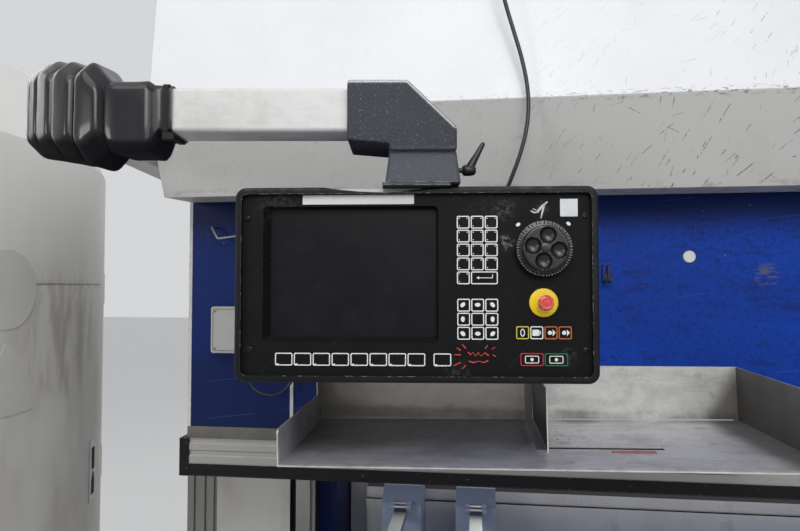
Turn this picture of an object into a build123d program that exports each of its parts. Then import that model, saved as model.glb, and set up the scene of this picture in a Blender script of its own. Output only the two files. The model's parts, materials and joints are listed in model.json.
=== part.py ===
from build123d import *
from math import asin, cos, degrees, hypot, pi, radians, sin, sqrt, tan
import os

# A hydraulic press brake: a long upright ram above a table, carried by two C-shaped side plates,
# with a white hood over the cylinders, a control panel on a hinged arm, a tray on the ram, a back
# gauge between the uprights and a cabinet beside the left upright.
# Millimetres. X runs along the bending line, the front faces -Y, Z is up, and the origin is on the
# floor at the centre of the four anchor holes.

# Working length, gap and ram
bend_length = 3215
end_strip = 8
ram_thickness = 90
table_height = 900
open_height = 384
ram_stroke = 215
ram_height = 687
ram_crown = 150
bend_line_y = -595

# Uprights
throat_depth = 420
upright_gap = 2690
upright_thickness = 60
upright_height = 2325
upright_depth = 1100
guide_gap = 50
foot_thickness = 25
anchor_radius = 13
anchor_spacing_y = 920
anchor_overhang = 55
lifting_radius = 40

# Tool clamp and die holder
clamp_bar_height = 30
clamp_body_height = 61
clamp_adapter_height = 28
clamp_proud = 8
tang_slot = 20
tang_depth = 58
end_cap = 24
die_holder_height = 60
die_holder_width = 120
die_slot_depth = 22

# Cylinders and guides
cylinder_radius = 110
piston_radius = 80
rod_radius = 50
slide_clearance = 0.05
rod_gap = 50
guide_width = 40
guide_reach = 30
running_gap = 0.3

# Hood
sheet = 3
hood_half_length = 1605
hood_top = 2700
hood_lip_rise = 7
crease_forward = 220
chamfer_forward = 147
chamfer_rise = 174
hood_lean = 6.6

# Side casings
casing_reach = 318
casing_bottom = 100
casing_top = 2195
post_width = 100
inner_post_width = 44
inner_post_depth = 30
casing_gap = 28

# Arms and elbow: both arms are turned together, a little to the left seen from above
arm_tube = 64
arm_wall = 4
arm_turn = 7.08
arm_over_ram_foot = 599.3
inner_arm_rise = 47
arm_forward = 534
arm_span = 612.8
arm_side_gap = 6.8
elbow_radius = 175
elbow_pin_radius = 10

# Knuckle and coupling
knuckle_depth = 95
knuckle_reach = 107.8
knuckle_foot = 62.5
coupling_height = 44.3
coupling_plate = 4
spigot_radius = 20
spigot_length = 44
lever_length = 38

# Control panel
panel_width = 524
panel_height = 282.4
panel_turn = 4.8
panel_forward = 30
panel_left_of_swivel = 8
rim_width = 10
rim_depth = 8
bezel_depth = 34
housing_depth = 66
key_size = 18.4
key_pitch = 20.1
handwheel_radius = 39.5
estop_radius = 13
estop_travel = 4

# Tray: it hangs a little out of level, with its right end higher
tray_left = -1277.5
tray_length = 945
tray_depth = 386
tray_tilt = 1.26
tray_skew = 20
tray_over_ram_foot = 26
tray_back_left = 131
tray_back_right = 119
tray_side_height = 65
tray_sheet = 2.5
divider_from_left = 499
divider_depth = 281
divider_height = 118

# Back gauge
gauge_rail_level = 745
gauge_beam_height = 190
gauge_level = 890
carriage_width = 120
carriage_places = (-1135, -910)
finger_length = 190

# Cabinet
cabinet_gap = 152
cabinet_bow = 1100
cabinet_front = -990
cabinet_back = -60
cabinet_left = -2700
cabinet_shoulder = 2100
cabinet_top = 2300
plinth_height = 100
door_thickness = 20
hinge_radius = 8
hinge_pin_radius = 4

# Cables
hood_cable_radius = 4
ram_cable_radius = 3.5
hood_gland_drop = 52

# Places that follow from the sizes
ram_front = bend_line_y - ram_thickness / 2
ram_back = bend_line_y + ram_thickness / 2
ram_half = bend_length / 2
ram_end = ram_half + end_strip
clamp_bottom = table_height + open_height
clamp_body_bottom = clamp_bottom + clamp_bar_height
clamp_body_top = clamp_body_bottom + clamp_body_height
ram_bottom = clamp_body_top + clamp_adapter_height
ram_top = ram_bottom + ram_height
die_holder_bottom = table_height - die_holder_height

upright_inner = upright_gap / 2
upright_outer = upright_inner + upright_thickness
upright_mid = upright_inner + upright_thickness / 2
upright_front = ram_back + guide_gap
upright_back = upright_front + upright_depth
upright_top = foot_thickness + upright_height
throat_back = bend_line_y + throat_depth
throat_bottom = die_holder_bottom - 10
throat_top = clamp_body_top + 75
cylinder_foot = ram_top + rod_gap
anchor_x = upright_outer + anchor_overhang

hood_bottom = ram_bottom + 545
crease_y = ram_front - crease_forward
crease_z = hood_bottom + chamfer_rise
chamfer_y = ram_front - chamfer_forward
hood_top_y = crease_y + (hood_top - crease_z) * tan(radians(hood_lean))
hood_back_y = ram_front + 340
tray_floor = ram_bottom + tray_over_ram_foot

arm_level = ram_bottom + arm_over_ram_foot
inner_arm_level = arm_level + inner_arm_rise
half_tube = arm_tube / 2
arm_turned = radians(arm_turn)
arm_way = Vector(cos(arm_turned), sin(arm_turned), 0)
arm_back = Vector(-sin(arm_turned), cos(arm_turned), 0)
arm_y = ram_front - arm_forward
inner_arm_x = -(hood_half_length + arm_side_gap + half_tube / cos(arm_turned))
crease_back = (crease_y - arm_y + arm_span * sin(arm_turned)) / cos(arm_turned)
coupling_x = inner_arm_x + arm_span * cos(arm_turned) + crease_back * sin(arm_turned)
bend_start = elbow_radius - arm_span
pin_along = bend_start - elbow_radius * sin(pi / 4)
pin_back = elbow_radius - elbow_radius * cos(pi / 4)
split_level = arm_level - knuckle_foot
coupling_top = split_level - running_gap
coupling_bottom = coupling_top - coupling_height
panel_top = coupling_bottom - coupling_plate
panel_level = panel_top - panel_height / 2
panel_x = coupling_x - panel_left_of_swivel
panel_y = arm_y - panel_forward


def side_plane(x):
    """Sketches have Y and Z as their axes, and grow towards +X."""
    return Plane.YZ.offset(x)


def front_plane(y):
    """Sketches have X and Z as their axes, and grow towards the front, -Y."""
    return Plane.XZ.offset(-y)


def level(z):
    """Sketches have X and Y as their axes, and grow upwards."""
    return Plane.XY.offset(z)


def arm_spot(along, back, z=0):
    """A place given along the outer arm from the swivel's axis, and back from the arm's middle line."""
    return Vector(coupling_x, arm_y, z) + arm_way * along + arm_back * back


def arm_plan(z):
    """Sketches have the outer arm's direction and the way back from it as their axes, and grow upwards."""
    return Plane(origin=arm_spot(0, 0, z), x_dir=arm_way, z_dir=(0, 0, 1))


def arm_cross(along):
    """Sketches have the way back and the height as their axes, and grow away from the elbow."""
    return Plane(origin=arm_spot(along, 0), x_dir=arm_back, z_dir=arm_way)


def arm_side(back):
    """Sketches have the outer arm's direction and the height as their axes, and grow to the front."""
    return Plane(origin=arm_spot(0, back), x_dir=arm_way, z_dir=-arm_back)


def arm_block(along, back, z, mode=Mode.ADD):
    """A box in the arms' own directions, given by its two limits along each of them."""
    middle = arm_spot((along[0] + along[1]) / 2, (back[0] + back[1]) / 2, (z[0] + z[1]) / 2)
    with Locations(Plane(origin=middle, x_dir=arm_way, z_dir=(0, 0, 1))):
        Box(along[1] - along[0], back[1] - back[0], z[1] - z[0], mode=mode)


def block(x, y, z, mode=Mode.ADD):
    """A box given by its two limits along each axis."""
    centre = ((x[0] + x[1]) / 2, (y[0] + y[1]) / 2, (z[0] + z[1]) / 2)
    with Locations(centre):
        Box(abs(x[1] - x[0]), abs(y[1] - y[0]), abs(z[1] - z[0]), mode=mode)


def post(x, y, z, radius, mode=Mode.ADD):
    """An upright cylinder between two heights."""
    with Locations((x, y, (z[0] + z[1]) / 2)):
        Cylinder(radius, abs(z[1] - z[0]), mode=mode)


def folded_outline(points, thickness):
    """The closed outline of a folded sheet: the given line, and the same line set off to its left."""
    steps = [(b[0] - a[0], b[1] - a[1]) for a, b in zip(points, points[1:])]
    units = [(dx / hypot(dx, dy), dy / hypot(dx, dy)) for dx, dy in steps]
    inner = []
    for n, (px, py) in enumerate(points):
        before = units[max(n - 1, 0)]
        after = units[min(n, len(units) - 1)]
        mx, my = -(before[1] + after[1]), before[0] + after[0]
        reach = thickness * 2 / (mx * mx + my * my)
        inner.append((px + mx * reach, py + my * reach))
    return list(points) + inner[::-1]


# Uprights: thick C-shaped plates with a throat behind the bending line
def upright_outline():
    shelf_y = upright_front + 25
    return [
        (upright_front, foot_thickness),
        (upright_front, throat_bottom),
        (throat_back, throat_bottom),
        (throat_back, throat_top),
        (upright_front, throat_top),
        (upright_front, cylinder_foot),
        (shelf_y, cylinder_foot),
        (shelf_y, upright_top),
        (upright_back - 220, upright_top),
        (upright_back, upright_top - 260),
        (upright_back, foot_thickness),
    ]


with BuildPart() as left_upright:
    with BuildSketch(side_plane(-upright_outer)):
        Polygon(*upright_outline(), align=None)
        with Locations((50, upright_top - 100)):
            Circle(lifting_radius, mode=Mode.SUBTRACT)
    extrude(amount=upright_thickness)
    throat_edges = left_upright.edges().filter_by(Axis.X).filter_by_position(
        Axis.Y, throat_back - 1, throat_back + 1
    )
    fillet(throat_edges, 90)
    for z0, z1 in ((220, 360), (620, 780)):
        block((-upright_outer, -upright_inner), (ram_back, upright_front), (z0, z1))
left_upright.part.label = "left_upright"
export_step(left_upright.part, "parts/left_upright.step")

with BuildPart() as right_upright:
    add(left_upright.part.mirror(Plane.YZ))
right_upright.part.label = "right_upright"
export_step(right_upright.part, "parts/right_upright.step")

# Feet: one drilled plate under each end of both uprights
foot_length = 180
with BuildPart() as base_feet:
    for side in (-1, 1):
        for end in (-1, 1):
            foot_y = end * anchor_spacing_y / 2
            block(
                (side * (upright_inner - 20), side * (anchor_x + 45)),
                (foot_y - foot_length / 2, foot_y + foot_length / 2),
                (0, foot_thickness),
            )
            post(side * anchor_x, foot_y, (0, foot_thickness), anchor_radius, Mode.SUBTRACT)
            with BuildSketch(front_plane(foot_y + 6)):
                Polygon(
                    (side * upright_outer, foot_thickness),
                    (side * (upright_outer + 22), foot_thickness),
                    (side * upright_outer, foot_thickness + 60),
                    align=None,
                )
            extrude(amount=12)
base_feet.part.label = "base_feet"
export_step(base_feet.part, "parts/base_feet.step")

# Table: a deep plate in line with the ram, its lower corners cut away
with BuildPart() as table_beam:
    with BuildSketch(front_plane(ram_back)):
        Polygon(
            (-ram_end, die_holder_bottom),
            (-ram_end, 430),
            (-upright_outer, 130),
            (upright_outer, 130),
            (ram_end, 430),
            (ram_end, die_holder_bottom),
            align=None,
        )
        with Locations((-850, 330), (850, 330)):
            Circle(lifting_radius, mode=Mode.SUBTRACT)
    extrude(amount=ram_thickness)
table_beam.part.label = "table_beam"
export_step(table_beam.part, "parts/table_beam.step")

# Die holder: a rail with a slot for the die's tang and a clamping groove along both sides
half_holder = die_holder_width / 2
with BuildPart() as die_holder:
    with BuildSketch(side_plane(-ram_half)):
        Polygon(
            (bend_line_y - half_holder, die_holder_bottom),
            (bend_line_y - half_holder, table_height - 14),
            (bend_line_y - half_holder + 14, table_height),
            (bend_line_y - tang_slot / 2, table_height),
            (bend_line_y - tang_slot / 2, table_height - die_slot_depth),
            (bend_line_y + tang_slot / 2, table_height - die_slot_depth),
            (bend_line_y + tang_slot / 2, table_height),
            (bend_line_y + half_holder - 14, table_height),
            (bend_line_y + half_holder, table_height - 14),
            (bend_line_y + half_holder, die_holder_bottom),
            align=None,
        )
        with Locations(
            (bend_line_y - half_holder, die_holder_bottom + 24),
            (bend_line_y + half_holder, die_holder_bottom + 24),
        ):
            Rectangle(16, 10, mode=Mode.SUBTRACT)
    extrude(amount=2 * ram_half)
die_holder.part.label = "die_holder"
export_step(die_holder.part, "parts/die_holder.step")

# Ties: square tubes between the uprights, and the posts that carry the hood
tie_size = 120
tie_wall = 8
tie_places = ((upright_back - 80, 220), (-290, upright_top - 75), (340, upright_top - 75))
hood_post_y = (-400, -330)
with BuildPart() as cross_ties:
    for tie_y, tie_z in tie_places:
        with BuildSketch(side_plane(-upright_inner)):
            with Locations((tie_y, tie_z)):
                RectangleRounded(tie_size, tie_size, 12)
                RectangleRounded(tie_size - 2 * tie_wall, tie_size - 2 * tie_wall, 5, mode=Mode.SUBTRACT)
        extrude(amount=upright_gap)
    for side in (-1, 1):
        block((side * upright_inner, side * upright_outer), hood_post_y, (upright_top, hood_top - sheet))
cross_ties.part.label = "cross_ties"
export_step(cross_ties.part, "parts/cross_ties.step")

# Guide rails on the uprights, with the shoes that run on them behind the ram
rail_low, rail_high = throat_top + 20, cylinder_foot - 30
with BuildPart() as guide_rails:
    for side in (-1, 1):
        block(
            (side * (upright_mid - guide_width / 2), side * (upright_mid + guide_width / 2)),
            (upright_front - guide_reach, upright_front),
            (rail_low, rail_high),
        )
guide_rails.part.label = "guide_rails"
export_step(guide_rails.part, "parts/guide_rails.step")

shoe_length = 100
shoe_heights = (
    (rail_low + ram_stroke + 15, rail_low + ram_stroke + 15 + shoe_length),
    (ram_top - 20 - shoe_length, ram_top - 20),
)
half_guide = guide_width / 2 + running_gap
shoe_face = upright_front - guide_reach - running_gap
with BuildPart() as guide_shoes:
    for side in (-1, 1):
        for shoe_low, shoe_high in shoe_heights:
            with BuildSketch(level(shoe_low)):
                with Locations((side * upright_mid, (ram_back + upright_front - 4) / 2)):
                    Rectangle(upright_thickness + 20, guide_gap - 4)
                with Locations((side * upright_mid, (shoe_face + upright_front) / 2)):
                    Rectangle(2 * half_guide, upright_front - shoe_face, mode=Mode.SUBTRACT)
            extrude(amount=shoe_high - shoe_low)
guide_shoes.part.label = "guide_shoes"
export_step(guide_shoes.part, "parts/guide_shoes.step")

# Cylinders: a turned barrel on a square foot that bolts to the upright's shelf
barrel_top = cylinder_foot + 440
chamber_low = cylinder_foot + 90
with BuildPart() as cylinders:
    for side in (-1, 1):
        x = side * upright_mid
        flange_y = (bend_line_y - 125, upright_front + 25)
        block((x - 125, x + 125), flange_y, (cylinder_foot, cylinder_foot + 60))
        post(x, bend_line_y, (cylinder_foot + 60, barrel_top), cylinder_radius)
        post(x, bend_line_y, (barrel_top, barrel_top + 30), cylinder_radius + 15)
        post(x, bend_line_y, (cylinder_foot, chamber_low), rod_radius + slide_clearance, Mode.SUBTRACT)
        post(x, bend_line_y, (chamber_low, barrel_top), piston_radius + slide_clearance, Mode.SUBTRACT)
cylinders.part.label = "cylinders"
export_step(cylinders.part, "parts/cylinders.step")

piston_top = barrel_top - 30
with BuildPart() as piston_rods:
    for side in (-1, 1):
        x = side * upright_mid
        rod_foot_y = (bend_line_y - rod_radius, bend_line_y + rod_radius)
        block((x - 90, x + 90), rod_foot_y, (ram_top, ram_top + 25))
        post(x, bend_line_y, (ram_top + 25, piston_top - 60), rod_radius)
        post(x, bend_line_y, (piston_top - 60, piston_top), piston_radius)
    fillet(piston_rods.edges().filter_by(Axis.Z).filter_by_position(Axis.Z, ram_top, ram_top + 25), 12)
piston_rods.part.label = "piston_rods"
export_step(piston_rods.part, "parts/piston_rods.step")

# Hood: one folded sheet with a leaning face, a sloping lower panel and a return lip, and two ends
hood_line = [
    (ram_front - 12, hood_bottom + hood_lip_rise),
    (chamfer_y, hood_bottom),
    (crease_y, crease_z),
    (hood_top_y, hood_top),
    (hood_back_y, hood_top),
    (hood_back_y, hood_top - 80),
]
hood_end_line = [
    (ram_front - 12, hood_bottom + hood_lip_rise),
    (chamfer_y, hood_bottom),
    (crease_y, crease_z),
    (hood_top_y, hood_top),
    (hood_back_y, hood_top),
    (hood_back_y, cylinder_foot),
    (ram_front - 12, cylinder_foot),
]
with BuildPart() as hood_cover:
    with BuildSketch(side_plane(-hood_half_length)):
        Polygon(*folded_outline(hood_line[::-1], sheet), align=None)
    extrude(amount=2 * hood_half_length)
    for end_x in (-hood_half_length, hood_half_length - sheet):
        with BuildSketch(side_plane(end_x)):
            Polygon(*hood_end_line, align=None)
        extrude(amount=sheet)
hood_cover.part.label = "hood_cover"
export_step(hood_cover.part, "parts/hood_cover.step")

# Hydraulic unit: tank and motor on the upper ties, valve blocks on the cylinders, steel pipes
tank_y = (hood_back_y + 20, 360)
tank_half = 430
tank_low = upright_top - 15
tank_top = upright_top + 290
lid_top = tank_top + 8
with BuildPart() as oil_tank:
    block((-tank_half, tank_half), tank_y, (tank_low, tank_top))
    fillet(oil_tank.edges().filter_by(Axis.Z), 30)
    block((-tank_half - 20, tank_half + 20), (tank_y[0] - 5, tank_y[1] + 20), (tank_top, lid_top))
    post(-260, 120, (lid_top, lid_top + 30), 38)
    post(260, 120, (lid_top, lid_top + 60), 55)
oil_tank.part.label = "oil_tank"
export_step(oil_tank.part, "parts/oil_tank.step")

motor_radius = 120
motor_length = 290
motor_y = 60
motor_base_top = tank_low + 20
motor_z = motor_base_top + motor_radius + 15
pump_end = tank_half + 70
motor_start = pump_end + 60
motor_end = motor_start + motor_length
with BuildPart() as pump_motor:
    with BuildSketch(side_plane(motor_start)):
        with Locations((motor_y, motor_z)):
            Circle(motor_radius - 8)
            with PolarLocations(motor_radius - 8, 24):
                Rectangle(14, 5)
    extrude(amount=motor_length)
    with BuildSketch(side_plane(motor_end)):
        with Locations((motor_y, motor_z)):
            Circle(motor_radius)
    extrude(amount=60, taper=12)
    with BuildSketch(side_plane(pump_end)):
        with Locations((motor_y, motor_z)):
            Circle(motor_radius + 5)
    extrude(amount=motor_start - pump_end)
    with BuildSketch(side_plane(tank_half)):
        with Locations((motor_y, motor_z)):
            Circle(62)
    extrude(amount=pump_end - tank_half)
    motor_feet = (motor_start + 40, motor_end - 30)
    block(motor_feet, (motor_y - 90, motor_y + 90), (motor_base_top, motor_z - motor_radius + 30))
    base_y = (tie_places[1][0] - 40, tie_places[2][0] + 40)
    block((motor_feet[0] - 10, motor_feet[1] + 10), base_y, (tank_low, motor_base_top))
pump_motor.part.label = "pump_motor"
export_step(pump_motor.part, "parts/pump_motor.step")

valve_base = barrel_top + 30
valve_top = valve_base + 80
pipe_radius = 12
pipe_z = valve_base + 45
tank_port_z = tank_top - 100
with BuildPart() as valve_blocks:
    for side in (-1, 1):
        x = side * upright_mid
        block((x - 80, x + 80), (bend_line_y - 75, bend_line_y + 75), (valve_base, valve_top))
        start_x = side * (upright_mid - 80)
        with BuildLine() as pipe_line:
            FilletPolyline(
                (start_x, bend_line_y, pipe_z),
                (side * 740, bend_line_y, pipe_z),
                (side * 740, bend_line_y + 130, tank_port_z),
                (side * 740, tank_y[0] + 90, tank_port_z),
                (side * 430, tank_y[0] + 90, tank_port_z),
                radius=50,
            )
        with BuildSketch(Plane(origin=(start_x, bend_line_y, pipe_z), z_dir=(-side, 0, 0))):
            Circle(pipe_radius)
        sweep(path=pipe_line.wires()[0])
valve_blocks.part.label = "valve_blocks"
export_step(valve_blocks.part, "parts/valve_blocks.step")

# Side casings: folded sheet boxes outside the uprights, open towards them, with corner posts
casing_front = throat_back - 45
casing_back = upright_back - 40
casing_outer = upright_outer + casing_reach
inner_post_x = (upright_outer + 8, upright_outer + 8 + inner_post_width)
with BuildPart() as side_casings:
    for side in (-1, 1):
        block(
            (side * upright_outer, side * casing_outer),
            (casing_front, casing_back),
            (casing_bottom, casing_top),
        )
        block(
            (side * upright_outer, side * (casing_outer - sheet)),
            (casing_front + sheet, casing_back - sheet),
            (casing_bottom + sheet, casing_top - sheet),
            Mode.SUBTRACT,
        )
        block(
            (side * (inner_post_x[1]), side * (inner_post_x[1] + casing_gap)),
            (casing_front - 1, casing_front + sheet + 1),
            (casing_bottom + 40, casing_top - 40),
            Mode.SUBTRACT,
        )
    slot_heights = [500 + 60 * n for n in range(8)]
    with BuildSketch(side_plane(-casing_outer)):
        with Locations(*[(160, z) for z in slot_heights]):
            SlotOverall(260, 14)
    extrude(amount=2 * casing_outer, mode=Mode.SUBTRACT)
side_casings.part.label = "side_casings"
export_step(side_casings.part, "parts/side_casings.step")

post_groove = 12
post_low = casing_bottom - 60
with BuildPart() as casing_posts:
    for side in (-1, 1):
        with BuildSketch(level(post_low)):
            with Locations((side * (casing_outer + post_width / 2), casing_front + post_width / 2)):
                RectangleRounded(post_width, post_width, 3)
            for slot_x in (post_width - 26, post_width - 62):
                for slot_y in (0, post_width):
                    with Locations((side * (casing_outer + slot_x), casing_front + slot_y)):
                        Rectangle(8, 24, mode=Mode.SUBTRACT)
            with Locations((side * (casing_outer + post_groove / 2), casing_front)):
                Rectangle(post_groove, 2 * post_groove, mode=Mode.SUBTRACT)
        extrude(amount=casing_top - post_low)
        block(
            (side * inner_post_x[0], side * inner_post_x[1]),
            (casing_front - inner_post_depth, casing_front),
            (post_low, casing_top),
        )
casing_posts.part.label = "casing_posts"
export_step(casing_posts.part, "parts/casing_posts.step")

# Arm bracket on the left upright, and the inner arm with the plate that carries the elbow pin
bracket_y = (upright_front + 30, upright_front + 110)


def inner_arm_back(y, along):
    """How far back a line at the given distance from the swivel crosses the given Y."""
    return (y - arm_y - along * sin(arm_turned)) / cos(arm_turned)


arm_face = half_tube - arm_span
bracket_ends = [arm_spot(arm_face, inner_arm_back(y, arm_face)) for y in bracket_y]
with BuildPart() as arm_bracket:
    with BuildSketch(level(inner_arm_level - half_tube)):
        Polygon(
            (bracket_ends[0].X, bracket_y[0]),
            (-upright_outer - 15, bracket_y[0]),
            (-upright_outer - 15, bracket_y[1]),
            (bracket_ends[1].X, bracket_y[1]),
            align=None,
        )
    extrude(amount=arm_tube)
    block(
        (-upright_outer - 15, -upright_outer),
        (bracket_y[0] - 25, bracket_y[1] + 45),
        (inner_arm_level - 75, inner_arm_level + 75),
    )
    with BuildSketch(front_plane(bracket_y[1])):
        Polygon(
            (-upright_outer - 15, inner_arm_level - half_tube),
            (-upright_outer - 90, inner_arm_level - half_tube),
            (-upright_outer - 15, inner_arm_level - 75),
            align=None,
        )
    extrude(amount=bracket_y[1] - bracket_y[0])
arm_bracket.part.label = "arm_bracket"
export_step(arm_bracket.part, "parts/arm_bracket.step")

link_half = 18
link_low = arm_level + 2
link_high = arm_level + half_tube + 6
inner_link_low = link_low + running_gap
inner_link_high = link_high - running_gap
end_plate = 12
inner_arm_front = elbow_radius + 20
inner_arm_rear = inner_arm_back(bracket_y[1] + 20, -arm_span)
with BuildPart() as inner_arm:
    with BuildSketch(arm_side(inner_arm_rear)):
        with Locations((-arm_span, inner_arm_level)):
            RectangleRounded(arm_tube, arm_tube, 6)
            RectangleRounded(arm_tube - 2 * arm_wall, arm_tube - 2 * arm_wall, 2, mode=Mode.SUBTRACT)
    extrude(amount=inner_arm_rear - inner_arm_front)
    arm_block(
        (-arm_span - half_tube + 6, -arm_span + half_tube - 6),
        (inner_arm_front - end_plate, inner_arm_front),
        (inner_link_low, inner_arm_level + half_tube - 6),
    )
    with BuildSketch(arm_plan(inner_link_low)):
        Polygon(
            (-arm_span - link_half, inner_arm_front - end_plate),
            (-arm_span + link_half, inner_arm_front - end_plate),
            (pin_along + link_half * 0.87, pin_back + link_half * 0.5),
            (pin_along - link_half * 0.87, pin_back - link_half * 0.5),
            align=None,
        )
        with Locations((pin_along, pin_back)):
            Circle(link_half)
            Circle(elbow_pin_radius + slide_clearance, mode=Mode.SUBTRACT)
    extrude(amount=inner_link_high - inner_link_low)
inner_arm.part.label = "inner_arm"
export_step(inner_arm.part, "parts/inner_arm.step")

# Ram: a deep plate, taller in the middle, with the light strips that close its ends
plug_x, plug_z, plug_radius = -430.5, ram_bottom + 411, 12
with BuildPart() as ram_plate:
    with BuildSketch(front_plane(ram_back)):
        Polygon(
            (-ram_half, ram_bottom),
            (-ram_half, ram_top),
            (-1200, ram_top),
            (-1200 + ram_crown, ram_top + ram_crown),
            (1200 - ram_crown, ram_top + ram_crown),
            (1200, ram_top),
            (ram_half, ram_top),
            (ram_half, ram_bottom),
            align=None,
        )
        with Locations((plug_x, plug_z)):
            Circle(plug_radius, mode=Mode.SUBTRACT)
        with Locations((-700, ram_top), (700, ram_top)):
            Circle(lifting_radius, mode=Mode.SUBTRACT)
    extrude(amount=ram_thickness)
ram_plate.part.label = "ram_plate"
export_step(ram_plate.part, "parts/ram_plate.step")

batten_x = -1350.5
with BuildPart() as ram_end_strips:
    for side in (-1, 1):
        block((side * ram_half, side * ram_end), (ram_front - 2, ram_back), (ram_bottom, ram_top))
    block((batten_x - 4, batten_x + 4), (ram_front - 4, ram_front), (ram_bottom, hood_bottom - 20))
ram_end_strips.part.label = "ram_end_strips"
export_step(ram_end_strips.part, "parts/ram_end_strips.step")

with BuildPart() as clamp_adapter:
    block((-ram_end, ram_end), (ram_front - 2, ram_back), (clamp_body_top, ram_bottom))
clamp_adapter.part.label = "clamp_adapter"
export_step(clamp_adapter.part, "parts/clamp_adapter.step")

# Tool clamp: a ribbed aluminium body with a slot for the punch's tang, and two black jaw bars
clamp_front = ram_front - clamp_proud
clamp_back = ram_back + clamp_proud
half_slot = tang_slot / 2
tang_top = clamp_bottom + tang_depth
rib_depth = 3
with BuildPart() as clamp_body:
    with BuildSketch(side_plane(-ram_half)):
        Polygon(
            (clamp_front, clamp_body_bottom),
            (clamp_front, clamp_body_bottom + 18),
            (clamp_front + rib_depth, clamp_body_bottom + 21),
            (clamp_front + rib_depth, clamp_body_bottom + 30),
            (clamp_front, clamp_body_bottom + 33),
            (clamp_front, clamp_body_top - 14),
            (clamp_front + rib_depth, clamp_body_top - 11),
            (clamp_front + rib_depth, clamp_body_top - 5),
            (clamp_front + 1, clamp_body_top),
            (clamp_back, clamp_body_top),
            (clamp_back, clamp_body_bottom),
            (bend_line_y + half_slot, clamp_body_bottom),
            (bend_line_y + half_slot, tang_top),
            (bend_line_y - half_slot, tang_top),
            (bend_line_y - half_slot, clamp_body_bottom),
            align=None,
        )
    extrude(amount=2 * ram_half)
clamp_body.part.label = "clamp_body"
export_step(clamp_body.part, "parts/clamp_body.step")

with BuildPart() as clamp_jaws:
    for jaw_y in ((clamp_front - 3, bend_line_y - half_slot), (bend_line_y + half_slot, clamp_back + 3)):
        block((-ram_half, ram_half), jaw_y, (clamp_bottom, clamp_body_bottom))
    outer_edges = clamp_jaws.edges().filter_by(Axis.X).group_by(Axis.Z)[0].sort_by(Axis.Y)
    chamfer([outer_edges[0], outer_edges[-1]], 4)
clamp_jaws.part.label = "clamp_jaws"
export_step(clamp_jaws.part, "parts/clamp_jaws.step")

with BuildPart() as clamp_end_caps:
    for side in (-1, 1):
        with BuildSketch(side_plane(side * ram_half)):
            Polygon(
                (clamp_front - 2, clamp_bottom),
                (clamp_front - 2, clamp_body_top),
                (clamp_back + 2, clamp_body_top),
                (clamp_back + 2, clamp_bottom),
                (bend_line_y + half_slot, clamp_bottom),
                (bend_line_y + half_slot, tang_top),
                (bend_line_y - half_slot, tang_top),
                (bend_line_y - half_slot, clamp_bottom),
                align=None,
            )
        extrude(amount=side * end_cap)
clamp_end_caps.part.label = "clamp_end_caps"
export_step(clamp_end_caps.part, "parts/clamp_end_caps.step")

# Tray: one stainless sheet folded up at its back and ends, on the ram's face, with a divider in it
tray_right = tray_left + tray_length
tray_front = ram_front - tray_depth
tray_slot_x, tray_slot_y = tray_left + 608, ram_front - 248
tray_slot_length, tray_slot_width = 209, 21


def hung(level_part):
    """The level part as it hangs: turned about the tray's lower left corner, its right end up."""
    return level_part.rotate(Axis((tray_left, 0, tray_floor), (0, 1, 0)), -tray_tilt)


def level_tray():
    """Floor, back and right wall, and the left wall, which closes in towards the front."""
    left_wall = hypot(tray_skew, tray_depth)
    left_way = Vector(tray_skew, -tray_depth, 0)
    with BuildPart() as sheets:
        with BuildSketch(level(tray_floor)):
            Polygon(
                (tray_left, ram_front),
                (tray_right, ram_front),
                (tray_right, tray_front),
                (tray_left + tray_skew, tray_front),
                align=None,
            )
            with Locations((tray_slot_x, tray_slot_y)):
                Rectangle(tray_slot_length, tray_slot_width, mode=Mode.SUBTRACT)
        extrude(amount=tray_sheet)
        with BuildSketch(front_plane(ram_front)):
            Polygon(
                (tray_left, tray_floor),
                (tray_right, tray_floor),
                (tray_right, tray_floor + tray_back_right),
                (tray_left, tray_floor + tray_back_left),
                align=None,
            )
        extrude(amount=tray_sheet)
        corner = Vector(tray_left, ram_front, tray_floor)
        with BuildSketch(Plane(origin=corner, x_dir=left_way, z_dir=left_way.cross(Vector(0, 0, 1)))):
            with BuildLine():
                Polyline(
                    (left_wall - 10, tray_side_height),
                    (48, tray_side_height),
                    (48, tray_back_left),
                    (tray_sheet, tray_back_left),
                    (tray_sheet, 0),
                    (left_wall, 0),
                    (left_wall, tray_side_height - 10),
                )
                ThreePointArc(
                    (left_wall, tray_side_height - 10),
                    (left_wall - 10 + 10 * sin(pi / 4), tray_side_height - 10 + 10 * sin(pi / 4)),
                    (left_wall - 10, tray_side_height),
                )
            make_face()
        extrude(amount=-tray_sheet)
        with BuildSketch(side_plane(tray_right - tray_sheet)):
            Polygon(
                (ram_front, tray_floor),
                (ram_front, tray_floor + tray_back_right),
                (ram_front - 267, tray_floor + tray_back_right - 2.4),
                (tray_front, tray_floor + tray_side_height),
                (tray_front, tray_floor),
                align=None,
            )
        extrude(amount=tray_sheet)
    return sheets.part


def level_divider():
    """An upright sheet with a foot and a back flange, both folded to its left."""
    x = tray_left + divider_from_left
    low, high = tray_floor + tray_sheet, tray_floor + divider_height
    front, back = ram_front - divider_depth, ram_front - tray_sheet
    with BuildPart() as folded:
        block((x, x + 2), (front, back), (low, high))
        block((x - 18, x), (front + 8, back), (low, low + 2))
        block((x - 18, x), (back - 2, back), (low, high))
    return folded.part


with BuildPart() as tray:
    add(hung(level_tray()))
tray.part.label = "tray"
export_step(tray.part, "parts/tray.step")

with BuildPart() as tray_divider:
    add(hung(level_divider()))
tray_divider.part.label = "tray_divider"
export_step(tray_divider.part, "parts/tray_divider.step")

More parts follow.
